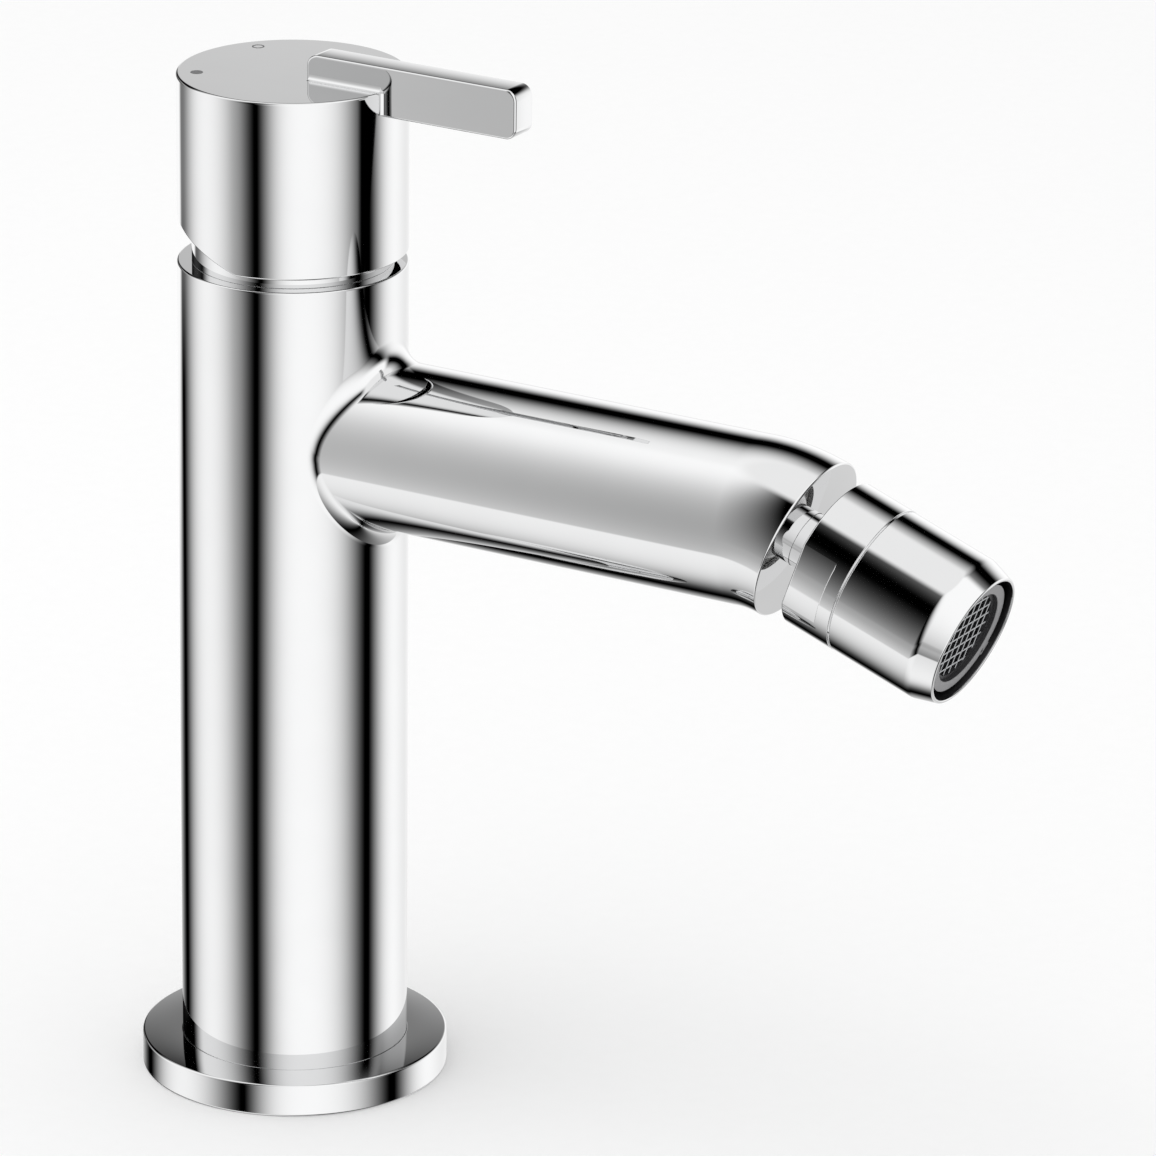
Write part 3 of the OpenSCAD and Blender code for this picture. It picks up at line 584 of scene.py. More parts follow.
# %% Wall of the plug's hole
depth = np.array((COLUMN_R, CAP_BORE))[:, None]
hole_x = -np.sqrt(depth ** 2 - hole_y ** 2)
hole_wall = np.stack((hole_x, hole_y + 0 * depth, PLUG_Z + hole_z + 0 * depth), axis=2)
hole_in = -np.stack((0 * hole_y, hole_y, hole_z), axis=1) / PLUG_HOLE_R
closed = np.append(np.arange(HOLE_STEPS), 0)
handle.grid(hole_wall[:, closed], hole_in[closed])
print("plug hole", 2 * PLUG_HOLE_R, "mm wide at", PLUG_Z, "mm up")

# %% [markdown]
# ## Blade
# The blade is a flat bar with rounded corners. A bevel modifier could round its edges, but it would not
# keep exact normals. Here the outline shrinks while the section turns the corner. Polishing crowns the top
# and bows the sides a little. Like the flange's dome, that is left to the normals. Small fillets run along
# the blade where it meets the cap.

# %% Outline of the blade
BLADE_LOW, BLADE_HIGH, BLADE_IN, BLADE_TIP = 178.7, 187.4, 4.6, 46.4
BLADE_CORNER, ROOT_CORNER, CORNER_ROWS = 2.0, 0.5, 13
blade_corners = (
    (BLADE_TIP, BLADE_HIGH, BLADE_CORNER, 0), (BLADE_IN, BLADE_HIGH, BLADE_CORNER, 90),
    (BLADE_IN, BLADE_LOW, ROOT_CORNER, 180), (BLADE_TIP, BLADE_LOW, BLADE_CORNER, 270))

def blade_outline(inset):
    points, normals = [], []
    for x, z, radius, first in blade_corners:
        turn = np.radians(first + np.linspace(0, 90, CORNER_ROWS))
        out = np.stack((np.cos(turn), 0 * turn, np.sin(turn)), axis=1)
        middle = np.array((x, 0, z)) - radius * np.sign(out[CORNER_ROWS // 2])
        points.append(middle + (radius - inset) * out)
        normals.append(out)
    order = np.append(np.arange(len(blade_corners) * CORNER_ROWS), 0)
    return np.concatenate(points)[order], np.concatenate(normals)[order]

print("blade", round(BLADE_TIP - BLADE_IN, 1), "mm long,", round(BLADE_HIGH - BLADE_LOW, 1), "mm high")

# %% Sweep the blade from one side to the other
BLADE_HALF, BLADE_EDGE = 2.8, 0.4
TOP_CROWN, SIDE_BOW = 3.6, 0.6
blade_rows, blade_normals = [], []
for side in (-1, 1):
    for lean in np.sort(side * np.linspace(0, 90, EDGE_ROWS)):
        points, out = blade_outline(BLADE_EDGE * (1 - math.cos(math.radians(lean))))
        offset = side * (BLADE_HALF - BLADE_EDGE) + BLADE_EDGE * math.sin(math.radians(lean))
        blade_rows.append(points + (0, offset, 0))
        crowned = side * math.radians(max(abs(lean), TOP_CROWN))
        blade_normals.append(math.cos(crowned) * out + np.array((0, math.sin(crowned), 0)))
handle.grid(np.array(blade_rows), np.array(blade_normals))
for row, side in ((blade_rows[0], -1), (blade_rows[-1], 1)):
    flank = fan(row.mean(axis=0), row)
    bow = np.radians(SIDE_BOW * (flank[..., 0] - BLADE_IN) / (BLADE_TIP - BLADE_IN))
    handle.grid(flank, np.stack((np.sin(bow), side * np.cos(bow), 0 * bow), axis=2))
print("blade", 2 * BLADE_HALF, "mm thick")

# %% Helper: a bar that fills an inner corner
def fillet_bar(arc, arc_normals, sunk, start, end):
    handle.grid(np.stack((arc + start, arc + end)), arc_normals)
    back = np.concatenate((arc[-1:], sunk, arc[:1]))
    handle.grid(np.stack((back + start, back + end)), -arc_normals[len(arc) // 2])
    cap = fan(sunk, arc)
    handle.grid(cap + start, unit(start - end))
    handle.grid(cap + end, unit(end - start))

# %% Fillets between the blade and the cap
FILLET, SUNK, FILLET_ROWS = 1.0, 0.4, 9
ROOT_GAP, RIM_GAP, TOP_GAP = 0.6, 0.4, 0.1
along_x = np.array((BLADE_IN + ROOT_GAP, 0, 0)), np.array((COLUMN_R - RIM_GAP, 0, 0))
along_z = np.array((0, 0, BLADE_LOW + BLADE_EDGE)), np.array((0, 0, CAP_TOP - TOP_GAP))
fillet_y = BLADE_HALF + FILLET
rim_x = math.sqrt((COLUMN_R + FILLET) ** 2 - fillet_y ** 2)
top_turn = np.radians(np.linspace(180, 270, FILLET_ROWS))
top_out = np.stack((0 * top_turn, np.cos(top_turn), np.sin(top_turn)), axis=1)
top_arc = np.array((0, fillet_y, CAP_TOP + FILLET)) + FILLET * top_out
top_sunk = np.array(((0, BLADE_HALF - SUNK, CAP_TOP - SUNK),))
rim_turn = np.linspace(-math.pi / 2, -math.pi + math.atan2(fillet_y, rim_x), FILLET_ROWS)
rim_out = np.stack((np.cos(rim_turn), np.sin(rim_turn), 0 * rim_turn), axis=1)
wall_arc = np.array((rim_x, fillet_y, 0)) + FILLET * rim_out
wall_sunk = np.array(((rim_x - FILLET - SUNK, BLADE_HALF - SUNK, 0),))
for side in (-1, 1):
    mirror = np.array((1, side, 1))
    fillet_bar(top_arc * mirror, -top_out * mirror, top_sunk * mirror, *along_x)
    fillet_bar(wall_arc * mirror, -rim_out * mirror, wall_sunk * mirror, *along_z)
handle.build("lever", "chrome", (chrome,), "handle")

# %% [markdown]
# ## Plug and marks
# A small plug closes the hole of the handle's grub screw. Two marks on the cap's top show which way is
# hot and cold: a filled dot and a ring. They are thin inlays, a few hundredths proud of the chrome.

# %% Plug in the cap's rear
PLUG_PROFILE = np.array(((0, 0), (0.9, 0), (1.8, 0), (2.55, 0), (2.7, 0.05), (2.75, 0.15)))
plug = Shell("plug_shell")
plug_r, plug_back = PLUG_PROFILE[:, 0, None], PLUG_PROFILE[:, 1, None]
plug_round = circle(HOLE_STEPS)
plug_y, plug_z = plug_r * np.cos(plug_round), plug_r * np.sin(plug_round)
plug_x = -np.sqrt(COLUMN_R ** 2 - plug_y ** 2)
plug_face = np.stack((plug_x + plug_back, plug_y, PLUG_Z + plug_z), axis=2)
plug.grid(plug_face, np.stack((plug_x, plug_y, 0 * plug_y), axis=2) / COLUMN_R)
plug_side = np.stack((0 * plug_round, np.cos(plug_round), np.sin(plug_round)), axis=1)
plug_inner = plug_face[-1] * (0, 1, 1) - (CAP_BORE, 0, 0)
plug.grid(np.stack((plug_face[-1], plug_inner)), plug_side)
plug.grid(fan(plug_inner.mean(axis=0), plug_inner), np.array((1.0, 0, 0)))
plug.build("lever", "chrome", (chrome,), "screw_plug")

# %% Hot and cold marks
MARK_X, MARK_Y, MARK_R, RING_W = -13.35, 9.55, 1.1, 0.3
PROUD, MARK_DEPTH, MARK_EDGE = 0.03, 0.2, 0.02
mark_low, mark_high = CAP_TOP - MARK_DEPTH, CAP_TOP + PROUD
dot = Shell("dot_mark")
dot_strips = outline_strips((
    (0, mark_low, 0), (MARK_R, mark_low, 0), (MARK_R, mark_high, MARK_EDGE), (0, mark_high, 0)), closed=False)
turned(dot, dot_strips, np.array((MARK_X, -MARK_Y, 0)), angles=circle(HOLE_STEPS))
dot.build("lever", "grey_plastic", (ink,))
ring_mark = Shell("ring_mark")
ring_strips = outline_strips((
    (MARK_R - RING_W, mark_low, 0), (MARK_R, mark_low, 0), (MARK_R, mark_high, MARK_EDGE),
    (MARK_R - RING_W, mark_high, MARK_EDGE)))
turned(ring_mark, ring_strips, np.array((MARK_X, MARK_Y, 0)), angles=circle(HOLE_STEPS))
ring_mark.build("lever", "grey_plastic", (ink,))

# %% [markdown]
# ## Ball stud
# The nozzle swings on a ball at the end of a hollow stud. Stations along its axis are counted from the
# spout's end face. The stud is turned like the rest, with the ball as one arc of its outline, so that the
# ball is a true sphere. It rubs in its seat, so it gets a satin finish.

# %% Turn the ball stud
BALL_S, BALL_R, BALL_CUT, BALL_ROWS = 11.0, 9.0, 6.0, 33
STUD_R, STUD_START, STUD_EDGE = 5.0, -10.0, 0.3
WATER_R, KEY_R, KEY_DEPTH = 2.6, 4.0, 4.0

def turned_on_nozzle(shell, strips, angles=None):
    turned(shell, strips, END, NOZZLE_AXES, angles)

neck_s = BALL_S - math.sqrt(BALL_R ** 2 - STUD_R ** 2)
ball_end = BALL_S + BALL_CUT
key_start = ball_end - KEY_DEPTH
sweep = np.linspace(math.asin(STUD_R / BALL_R), math.pi - math.acos(BALL_CUT / BALL_R), BALL_ROWS)
ball_out, ball_along = np.sin(sweep), -np.cos(sweep)
ball_arc = np.stack((BALL_R * ball_out, BALL_S + BALL_R * ball_along, ball_out, ball_along), axis=1)
stud = Shell("stud_shell")
turned_on_nozzle(stud, outline_strips((
    (ball_arc[-1, 0], ball_end, 0), (KEY_R, ball_end, 0), (KEY_R, key_start, 0), (WATER_R, key_start, 0),
    (WATER_R, STUD_START, 0), (STUD_R, STUD_START, STUD_EDGE), (STUD_R, neck_s, 0)), closed=False))
stud.finish = 1
turned_on_nozzle(stud, [ball_arc])
stud.build("mixer", "chrome", (chrome, satin), "ball_stud")

# %% [markdown]
# ## Collar
# The collar is the rear half of the nozzle, a turned ring with two flats for a spanner. A boolean cut
# would give the flats, but neither their rounded steps nor exact normals. So the wall is swept in four
# sectors, two round and two flat, and each brings its own edges. On the real one the flats mirror almost
# as the round wall does, so their normals lie between the two.

# %% Sizes of the collar and its four sectors
COLLAR_R, COLLAR_S, SEAM_S = 13.4, 4.5, 13.9
FLAT_Y, FLAT_END, CROWN = 12.0, 11.2, 0.8
COLLAR_EDGE, STEP_EDGE, SEAM_EDGE = 0.3, 0.2, 0.12
SECTOR_STEPS, STEP_ROWS = 73, 6
flat_start = math.asin(FLAT_Y / COLLAR_R)
sectors = (
    (-flat_start, flat_start, 0),
    (flat_start, math.pi - flat_start, 1),
    (math.pi - flat_start, math.pi + flat_start, 0),
    (math.pi + flat_start, 2 * math.pi - flat_start, -1))
rows_lean = np.linspace(0, math.pi / 2, STEP_ROWS)[:, None]
towards_mouth = np.array((0, 0, 1.0))
print("flats start", round(math.degrees(flat_start), 1), "degrees round")

# %% Helper: points and normals on the nozzle's axis
def on_axis(x, y, s):
    return END + sum(np.asarray(value)[..., None] * axis for value, axis in zip((x, y, s), NOZZLE_AXES))

def turned_to_axis(normals):
    return normals @ NOZZLE_AXES

def quarter_round(first, last):
    return np.cos(rows_lean)[..., None] * first + np.sin(rows_lean)[..., None] * last

# %% Helper: outer wall of one sector
def sector_wall(angles, flat):
    x, y = COLLAR_R * np.cos(angles), COLLAR_R * np.sin(angles)
    round_out = np.stack((np.cos(angles), np.sin(angles), 0 * angles), axis=1)
    low_y = np.full_like(y, flat * FLAT_Y) if flat else y
    out = unit(CROWN * round_out + (1 - CROWN) * np.array((0, flat, 0))) if flat else round_out
    stations = np.array((COLLAR_S + COLLAR_EDGE, FLAT_END))[:, None]
    collar.grid(on_axis(x, low_y, stations), turned_to_axis(out))
    step = np.minimum(STEP_EDGE, np.abs(y - low_y) / 2)
    if flat:
        collar.grid(on_axis(x, np.stack((low_y, y - flat * step)), FLAT_END), -NOZZLE_AXES[2])
        step_y = y - flat * step * (1 - np.cos(rows_lean))
        step_s = FLAT_END + step * (1 - np.sin(rows_lean))
        collar.grid(on_axis(x, step_y, step_s), turned_to_axis(quarter_round(round_out, -towards_mouth)))
    stations = np.stack((FLAT_END + step, np.full_like(x, SEAM_S - SEAM_EDGE)))
    collar.grid(on_axis(x, y, stations), turned_to_axis(round_out))
    return x, low_y, out

# %% Helper: rear edge and rear face of one sector
OPENING_R = 8.4

def sector_rear(angles, x, low_y, out):
    shrink = COLLAR_EDGE * (1 - np.cos(rows_lean))
    edge_s = COLLAR_S + COLLAR_EDGE * (1 - np.sin(rows_lean))
    edge = on_axis(x - shrink * out[:, 0], low_y - shrink * out[:, 1], edge_s)
    edge_out = quarter_round(out, -towards_mouth)
    collar.grid(edge, turned_to_axis(edge_out))
    opening = on_axis(OPENING_R * np.cos(angles), OPENING_R * np.sin(angles), COLLAR_S)
    collar.grid(np.stack((edge[-1], opening)), -NOZZLE_AXES[2])
    return edge, edge_out

# %% Front face and bore of the collar, as outlines
POCKET_R, POCKET_ROWS, SPIGOT_R, SPIGOT_FIT = 10.1, 13, 11.2, 0.05

def pocket_arc(turn):
    out, along = -np.cos(turn), -np.sin(turn)
    return np.stack((-POCKET_R * out, BALL_S - POCKET_R * along, out, along), axis=1)

pocket_edge = math.acos(OPENING_R / POCKET_R)
pocket_half = math.sqrt(POCKET_R ** 2 - OPENING_R ** 2)
collar_bore_r = SPIGOT_R + SPIGOT_FIT
collar_face = outline_strips((
    (COLLAR_R, SEAM_S - SEAM_EDGE, 0), (COLLAR_R, SEAM_S, SEAM_EDGE),
    (collar_bore_r, SEAM_S, 0)), closed=False)
collar_bore = outline_strips((
    (collar_bore_r, SEAM_S, 0), (collar_bore_r, BALL_S, 0), (POCKET_R, BALL_S, 0)), closed=False)
collar_bore += outline_strips(((OPENING_R, BALL_S - pocket_half, 0), (OPENING_R, COLLAR_S, 0)), closed=False)
collar_bore.append(pocket_arc(-np.linspace(0, pocket_edge, POCKET_ROWS)))
print("ball pocket", 2 * POCKET_R, "mm wide")

# %% Sweep the sectors and close the edge between them
collar = Shell("collar_shell")
edges = []
for start, end, flat in sectors:
    angles = np.linspace(start, end, SECTOR_STEPS)
    edges.append(sector_rear(angles, *sector_wall(angles, flat)))
    turned_on_nozzle(collar, collar_face, angles)
    collar.finish = 1
    turned_on_nozzle(collar, collar_bore, angles)
    collar.finish = 0
for k, (start, _, _) in enumerate(sectors):
    (edge_a, out_a), (edge_b, out_b) = edges[k - 1], edges[k]
    pair = np.stack((edge_a[:, -1], edge_b[:, 0]), axis=1)
    collar.grid(pair, turned_to_axis(np.stack((out_a[:, -1], out_b[:, 0]), axis=1)))
    opening = on_axis(OPENING_R * math.cos(start), OPENING_R * math.sin(start), COLLAR_S)
    tip = np.stack((pair[-1, 0], pair[-1, 1], opening))
    collar.triangles(tip, -NOZZLE_AXES[2], np.array(((0, 1, 2),)))
collar.build("nozzle", "chrome", (chrome, satin), "nozzle_collar")

# %% [markdown]
# ## Sleeve
# The sleeve is the front half of the nozzle. A fine line parts it from the collar, and its nose cones in
# to the mouth through a wide round. One outline gives the polished outside. A second one gives the bore,
# which is never polished, so it is rough, and its colour is painted near black as the shade inside the
# nozzle.

# %% Polished outside of the sleeve
SLEEVE_R, MOUTH_S, MOUTH_R = 13.3, 34.3, 11.4
NOSE_L, NOSE_R, RIM_R, RIM_RUN = 4.2, 4.0, 12.1, 0.4
LINE_DEPTH, LINE_FLOOR, LINE_END, LINE_IN_EDGE, LINE_OUT_EDGE = 0.3, 0.2, 0.35, 0.08, 0.12
LIP_OUT_EDGE, LIP_IN_EDGE, LIP_DEPTH = 0.3, 0.15, 0.3
line_r = SLEEVE_R - LINE_DEPTH
nose_slope = (SLEEVE_R - RIM_R) / (NOSE_L - RIM_RUN)
sleeve = Shell("sleeve_shell")
turned_on_nozzle(sleeve, outline_strips((
    (SPIGOT_R, SEAM_S, 0), (line_r, SEAM_S, 0), (line_r, SEAM_S + LINE_FLOOR, LINE_IN_EDGE),
    (SLEEVE_R, SEAM_S + LINE_END, LINE_OUT_EDGE), (SLEEVE_R, MOUTH_S - NOSE_L, NOSE_R),
    (RIM_R - nose_slope * RIM_RUN, MOUTH_S, LIP_OUT_EDGE), (MOUTH_R, MOUTH_S, LIP_IN_EDGE),
    (MOUTH_R, MOUTH_S - LIP_DEPTH, 0)), closed=False))
print("nose cones in", round(math.degrees(math.atan(nose_slope)), 1), "degrees")

# %% Rough bore of the sleeve, painted dark as shade
AERATOR_R, FACE_S, CHAMBER_S, SPIGOT_GAP = 11.2, 30.0, 18.0, 0.2
spigot_end = BALL_S + SPIGOT_GAP
front_arc = pocket_arc(np.linspace(pocket_edge, math.asin(SPIGOT_GAP / POCKET_R), POCKET_ROWS))
sleeve_bore = [front_arc] + outline_strips((
    (MOUTH_R, MOUTH_S - LIP_DEPTH, 0), (MOUTH_R, FACE_S, 0), (AERATOR_R, FACE_S, 0),
    (AERATOR_R, CHAMBER_S, 0), (OPENING_R, CHAMBER_S, 0), (OPENING_R, BALL_S + pocket_half, 0)), closed=False)
sleeve_bore += outline_strips((
    (front_arc[-1, 0], spigot_end, 0), (SPIGOT_R, spigot_end, 0), (SPIGOT_R, SEAM_S, 0)), closed=False)
# The bore's colour is painted shade.
sleeve.finish = 1
turned_on_nozzle(sleeve, sleeve_bore)
sleeve.build("nozzle", "chrome", (chrome, shaded), "nozzle_sleeve")

# %% [markdown]
# ## Aerator screen
# In the mouth sits a grey ring, and behind it a square mesh in a thin rim. The wires repeat one shape, so
# Geometry Nodes make them: they are instances on a row of points, each stretched to the chord it spans,
# and a turned copy gives the wires across. Light hardly reaches the rim, so its colour is painted dark as
# shade, picked by its distance from the axis.

# %% Helper: nodes and their inputs
def feed(tree, socket, value):
    if hasattr(value, "is_linked"):
        tree.links.new(value, socket)
    else:
        socket.default_value = value

def node_value(tree, kind, **sockets):
    node = tree.nodes.new(kind)
    for label, value in sockets.items():
        feed(tree, node.inputs[label.replace("_", " ")], value)
    return node

def math_node(tree, operation, a, b=0.0):
    node = tree.nodes.new("ShaderNodeMath")
    node.operation = operation
    feed(tree, node.inputs[0], a)
    feed(tree, node.inputs[1], b)
    return node.outputs["Value"]

def vector(tree, x=0.0, y=0.0, z=0.0):
    return node_value(tree, "ShaderNodeCombineXYZ", X=x, Y=y, Z=z).outputs["Vector"]

# %% Helper: run a node tree once and keep plain mesh
def new_tree(name, inputs):
    tree = bpy.data.node_groups.new(name, "GeometryNodeTree")
    tree.interface.new_socket("Geometry", in_out="INPUT", socket_type="NodeSocketGeometry")
    tree.interface.new_socket("Geometry", in_out="OUTPUT", socket_type="NodeSocketGeometry")
    for label, kind in inputs:
        tree.interface.new_socket(label, in_out="INPUT", socket_type=kind)
    return tree, tree.nodes.new("NodeGroupInput"), tree.nodes.new("NodeGroupOutput")

def run_tree(piece, tree, values):
    modifier = piece.modifiers.new(tree.name, "NODES")
    modifier.node_group = tree
    for item in tree.interface.items_tree:
        if item.in_out == "INPUT" and item.name in values:
            modifier[item.identifier] = values[item.name]
    bpy.context.view_layer.update()
    depsgraph = bpy.context.evaluated_depsgraph_get()
    plain = bpy.data.meshes.new_from_object(piece.evaluated_get(depsgraph))
    piece.modifiers.remove(modifier)
    piece.data = plain

def onto_nozzle(piece):
    spots = np.empty(len(piece.data.vertices) * 3)
    piece.data.vertices.foreach_get("co", spots)
    spots = spots.reshape(-1, 3) @ NOZZLE_AXES + END * MM
    piece.data.vertices.foreach_set("co", spots.ravel())
    piece.data.update()

# %% Tree: one wire, and a row of points for it
WIRE_SIDES = 10
wires, wires_in, wires_out = new_tree("screen wires", (
    ("Radius", "NodeSocketFloat"), ("Wire", "NodeSocketFloat"), ("Flatness", "NodeSocketFloat"),
    ("Count", "NodeSocketInt"), ("Station", "NodeSocketFloat"), ("Inside Rim", "NodeSocketFloat"),
    ("Material", "NodeSocketMaterial"), ("Rim Shade Material", "NodeSocketMaterial")))
take = wires_in.outputs
width = math_node(wires, "MULTIPLY", take["Radius"], 2.0)
pitch = math_node(wires, "DIVIDE", width, math_node(wires, "ADD", take["Count"], 1.0))
first_x = math_node(wires, "SUBTRACT", pitch, take["Radius"])
row = node_value(wires, "GeometryNodeMeshLine", Count=take["Count"],
    Start_Location=vector(wires, first_x), Offset=vector(wires, pitch))
wire_line = node_value(wires, "GeometryNodeCurvePrimitiveLine", Start=(0, -1, 0), End=(0, 1, 0))
wire_round = node_value(wires, "GeometryNodeCurvePrimitiveCircle", Resolution=WIRE_SIDES,
    Radius=math_node(wires, "DIVIDE", take["Wire"], 2.0))
wire = node_value(wires, "GeometryNodeCurveToMesh", Curve=wire_line.outputs["Curve"],
    Profile_Curve=wire_round.outputs["Curve"], Fill_Caps=True)
print("a wire has", WIRE_SIDES, "sides")

# %% Tree: wires both ways, set at their station
LAYER_LIFT = 0.1
place = wires.nodes.new("GeometryNodeInputPosition").outputs["Position"]
across = node_value(wires, "ShaderNodeSeparateXYZ", Vector=place).outputs["X"]
chord = math_node(wires, "SQRT", math_node(wires, "SUBTRACT",
    math_node(wires, "POWER", take["Radius"], 2.0), math_node(wires, "POWER", across, 2.0)))
spread = node_value(wires, "GeometryNodeInstanceOnPoints", Points=row.outputs["Mesh"],
    Instance=wire.outputs["Mesh"], Scale=vector(wires, 1.0, chord, take["Flatness"]))
second = node_value(wires, "GeometryNodeTransform", Geometry=spread.outputs["Instances"],
    Translation=vector(wires, z=math_node(wires, "MULTIPLY", take["Wire"], LAYER_LIFT)))
second.inputs["Rotation"].default_value = (0, 0, math.pi / 2)
both = wires.nodes.new("GeometryNodeJoinGeometry")
wires.links.new(spread.outputs["Instances"], both.inputs["Geometry"])
wires.links.new(second.outputs["Geometry"], both.inputs["Geometry"])
seated = node_value(wires, "GeometryNodeTransform", Geometry=both.outputs["Geometry"],
    Translation=vector(wires, z=take["Station"]))
solid = node_value(wires, "GeometryNodeRealizeInstances", Geometry=seated.outputs["Geometry"])
print("wires laid both ways")

# %% Tree: join the rim, set the wires' finish and paint the rim's shade
rim_join = wires.nodes.new("GeometryNodeJoinGeometry")
wires.links.new(solid.outputs["Geometry"], rim_join.inputs["Geometry"])
wires.links.new(take["Geometry"], rim_join.inputs["Geometry"])
dressed = node_value(wires, "GeometryNodeSetMaterial", Geometry=rim_join.outputs["Geometry"],
    Material=take["Material"])
flat_place = node_value(wires, "ShaderNodeVectorMath", Vector=place)
flat_place.operation = "MULTIPLY"
flat_place.inputs[1].default_value = (1, 1, 0)
from_axis = node_value(wires, "ShaderNodeVectorMath", Vector=flat_place.outputs["Vector"])
from_axis.operation = "LENGTH"
# Painted shade: parts farther from the axis than the rim's inner radius get the near-black material.
rim_shade_mask = math_node(wires, "GREATER_THAN", from_axis.outputs["Value"], take["Inside Rim"])
rim_shaded = node_value(wires, "GeometryNodeSetMaterial", Geometry=dressed.outputs["Geometry"],
    Material=take["Rim Shade Material"], Selection=rim_shade_mask)
wires.links.new(rim_shaded.outputs["Geometry"], wires_out.inputs["Geometry"])
print("tree", wires.name, len(wires.nodes), "nodes")

# %% Helper: a plain ring along the nozzle's axis
def local_ring(name, corners, steps):
    angles = circle(steps)[:-1]
    points = [(r * math.cos(a) * MM, r * math.sin(a) * MM, s * MM) for r, s in corners for a in angles]
    faces = []
    for k in range(len(corners)):
        m = (k + 1) % len(corners)
        for i in range(steps):
            j = (i + 1) % steps
            faces.append((k * steps + i, k * steps + j, m * steps + j, m * steps + i))
    mesh = bpy.data.meshes.new(name)
    mesh.from_pydata(points, [], faces)
    piece = bpy.data.objects.new(name, mesh)
    bpy.context.collection.objects.link(piece)
    return piece

# %% Screen: a thin rim, then its wires
SCREEN_IN_R, SCREEN_R, SCREEN_S, SCREEN_END_S, SCREEN_STEPS = 7.65, 8.35, 31.7, 32.5, 96
WIRE_REACH, WIRE_T, WIRE_FLATNESS, WIRE_COUNT, WIRE_S, INSIDE_RIM = 8.2, 0.36, 0.35, 7, 32.2, 7.6
screen = local_ring("screen_mesh", (
    (SCREEN_IN_R, SCREEN_S), (SCREEN_R, SCREEN_S), (SCREEN_R, SCREEN_END_S), (SCREEN_IN_R, SCREEN_END_S)),
    SCREEN_STEPS)
# The rim's material here is painted shade: near black, as the rim gets little light.
run_tree(screen, wires, {
    "Radius": WIRE_REACH * MM, "Wire": WIRE_T * MM, "Flatness": WIRE_FLATNESS, "Count": WIRE_COUNT,
    "Station": WIRE_S * MM, "Inside Rim": INSIDE_RIM * MM, "Material": wire_plastic,
    "Rim Shade Material": dark_moulding_and_shade})
onto_nozzle(screen)
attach(screen, "nozzle")
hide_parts("aerator_screen")
print("screen", len(screen.data.polygons), "faces")

# %% [markdown]
# ## Aerator cage
# The ring in front of the screen has six tabs for a key. The tabs are blocks set round a circle and turned
# to face outwards. A boolean joins them to the ring, as on the moulded part. The tabs end flush with the
# ring's face, and there the exact solver can leave small open edges. Light hardly reaches the ring's
# walls, so their colour is painted darker than the face's, as shade.

# %% Tree: tabs set round a ring
tabs, tabs_in, tabs_out = new_tree("key tabs", (
    ("Count", "NodeSocketInt"), ("Radius", "NodeSocketFloat"), ("Station", "NodeSocketFloat"),
    ("Block", "NodeSocketVector"), ("Face", "NodeSocketMaterial"), ("Wall", "NodeSocketMaterial")))
take = tabs_in.outputs
spots = node_value(tabs, "GeometryNodeMeshCircle", Vertices=take["Count"], Radius=take["Radius"])
spot_place = tabs.nodes.new("GeometryNodeInputPosition").outputs["Position"]
face_out = tabs.nodes.new("FunctionNodeAlignRotationToVector")
face_out.axis = "X"
tabs.links.new(spot_place, face_out.inputs["Vector"])
block = node_value(tabs, "GeometryNodeMeshCube", Size=take["Block"])
blocks = node_value(tabs, "GeometryNodeInstanceOnPoints", Points=spots.outputs["Mesh"],
    Instance=block.outputs["Mesh"], Rotation=face_out.outputs["Rotation"])
lifted = node_value(tabs, "GeometryNodeTransform", Geometry=blocks.outputs["Instances"],
    Translation=vector(tabs, z=take["Station"]))
solid_blocks = node_value(tabs, "GeometryNodeRealizeInstances", Geometry=lifted.outputs["Geometry"])
print("tabs set round the circle")

# %% Tree: join the tabs, set the face's finish and paint the walls' shade
FACE_TILT = 0.5
joined = tabs.nodes.new("GeometryNodeMeshBoolean")
joined.operation = "UNION"
tabs.links.new(take["Geometry"], joined.inputs["Mesh 2"])
tabs.links.new(solid_blocks.outputs["Geometry"], joined.inputs["Mesh 2"])
faced = node_value(tabs, "GeometryNodeSetMaterial", Geometry=joined.outputs["Mesh"], Material=take["Face"])
face_normal = tabs.nodes.new("GeometryNodeInputNormal").outputs["Normal"]
tilt = node_value(tabs, "ShaderNodeSeparateXYZ", Vector=face_normal)
# Painted shade: faces whose normals tilt off the axis, the walls, get the near-black material.
walls_shaded = node_value(tabs, "GeometryNodeSetMaterial", Geometry=faced.outputs["Geometry"],
    Material=take["Wall"], Selection=math_node(tabs, "LESS_THAN", tilt.outputs["Z"], FACE_TILT))
tabs.links.new(walls_shaded.outputs["Geometry"], tabs_out.inputs["Geometry"])
print("tree", tabs.name, len(tabs.nodes), "nodes")

# %% Cage with its tabs
CAGE_R, CAGE_FOOT_R, CAGE_BORE_R, CAGE_EDGE = 10.2, 11.1, 8.4, 0.1
CAGE_S, CAGE_END_S = 20.0, 33.3
TAB_COUNT, TAB_OUT, TAB_W, TAB_SUNK = 6, 0.5, 2.5, 0.5
cage = local_ring("cage_ring", (
    (CAGE_BORE_R, CAGE_S), (CAGE_FOOT_R, CAGE_S), (CAGE_FOOT_R, FACE_S), (CAGE_R, FACE_S),
    (CAGE_R, CAGE_END_S), (CAGE_BORE_R + CAGE_EDGE, CAGE_END_S),
    (CAGE_BORE_R, CAGE_END_S - CAGE_EDGE)), ROUND_STEPS)
tab_height = CAGE_END_S - FACE_S + TAB_SUNK
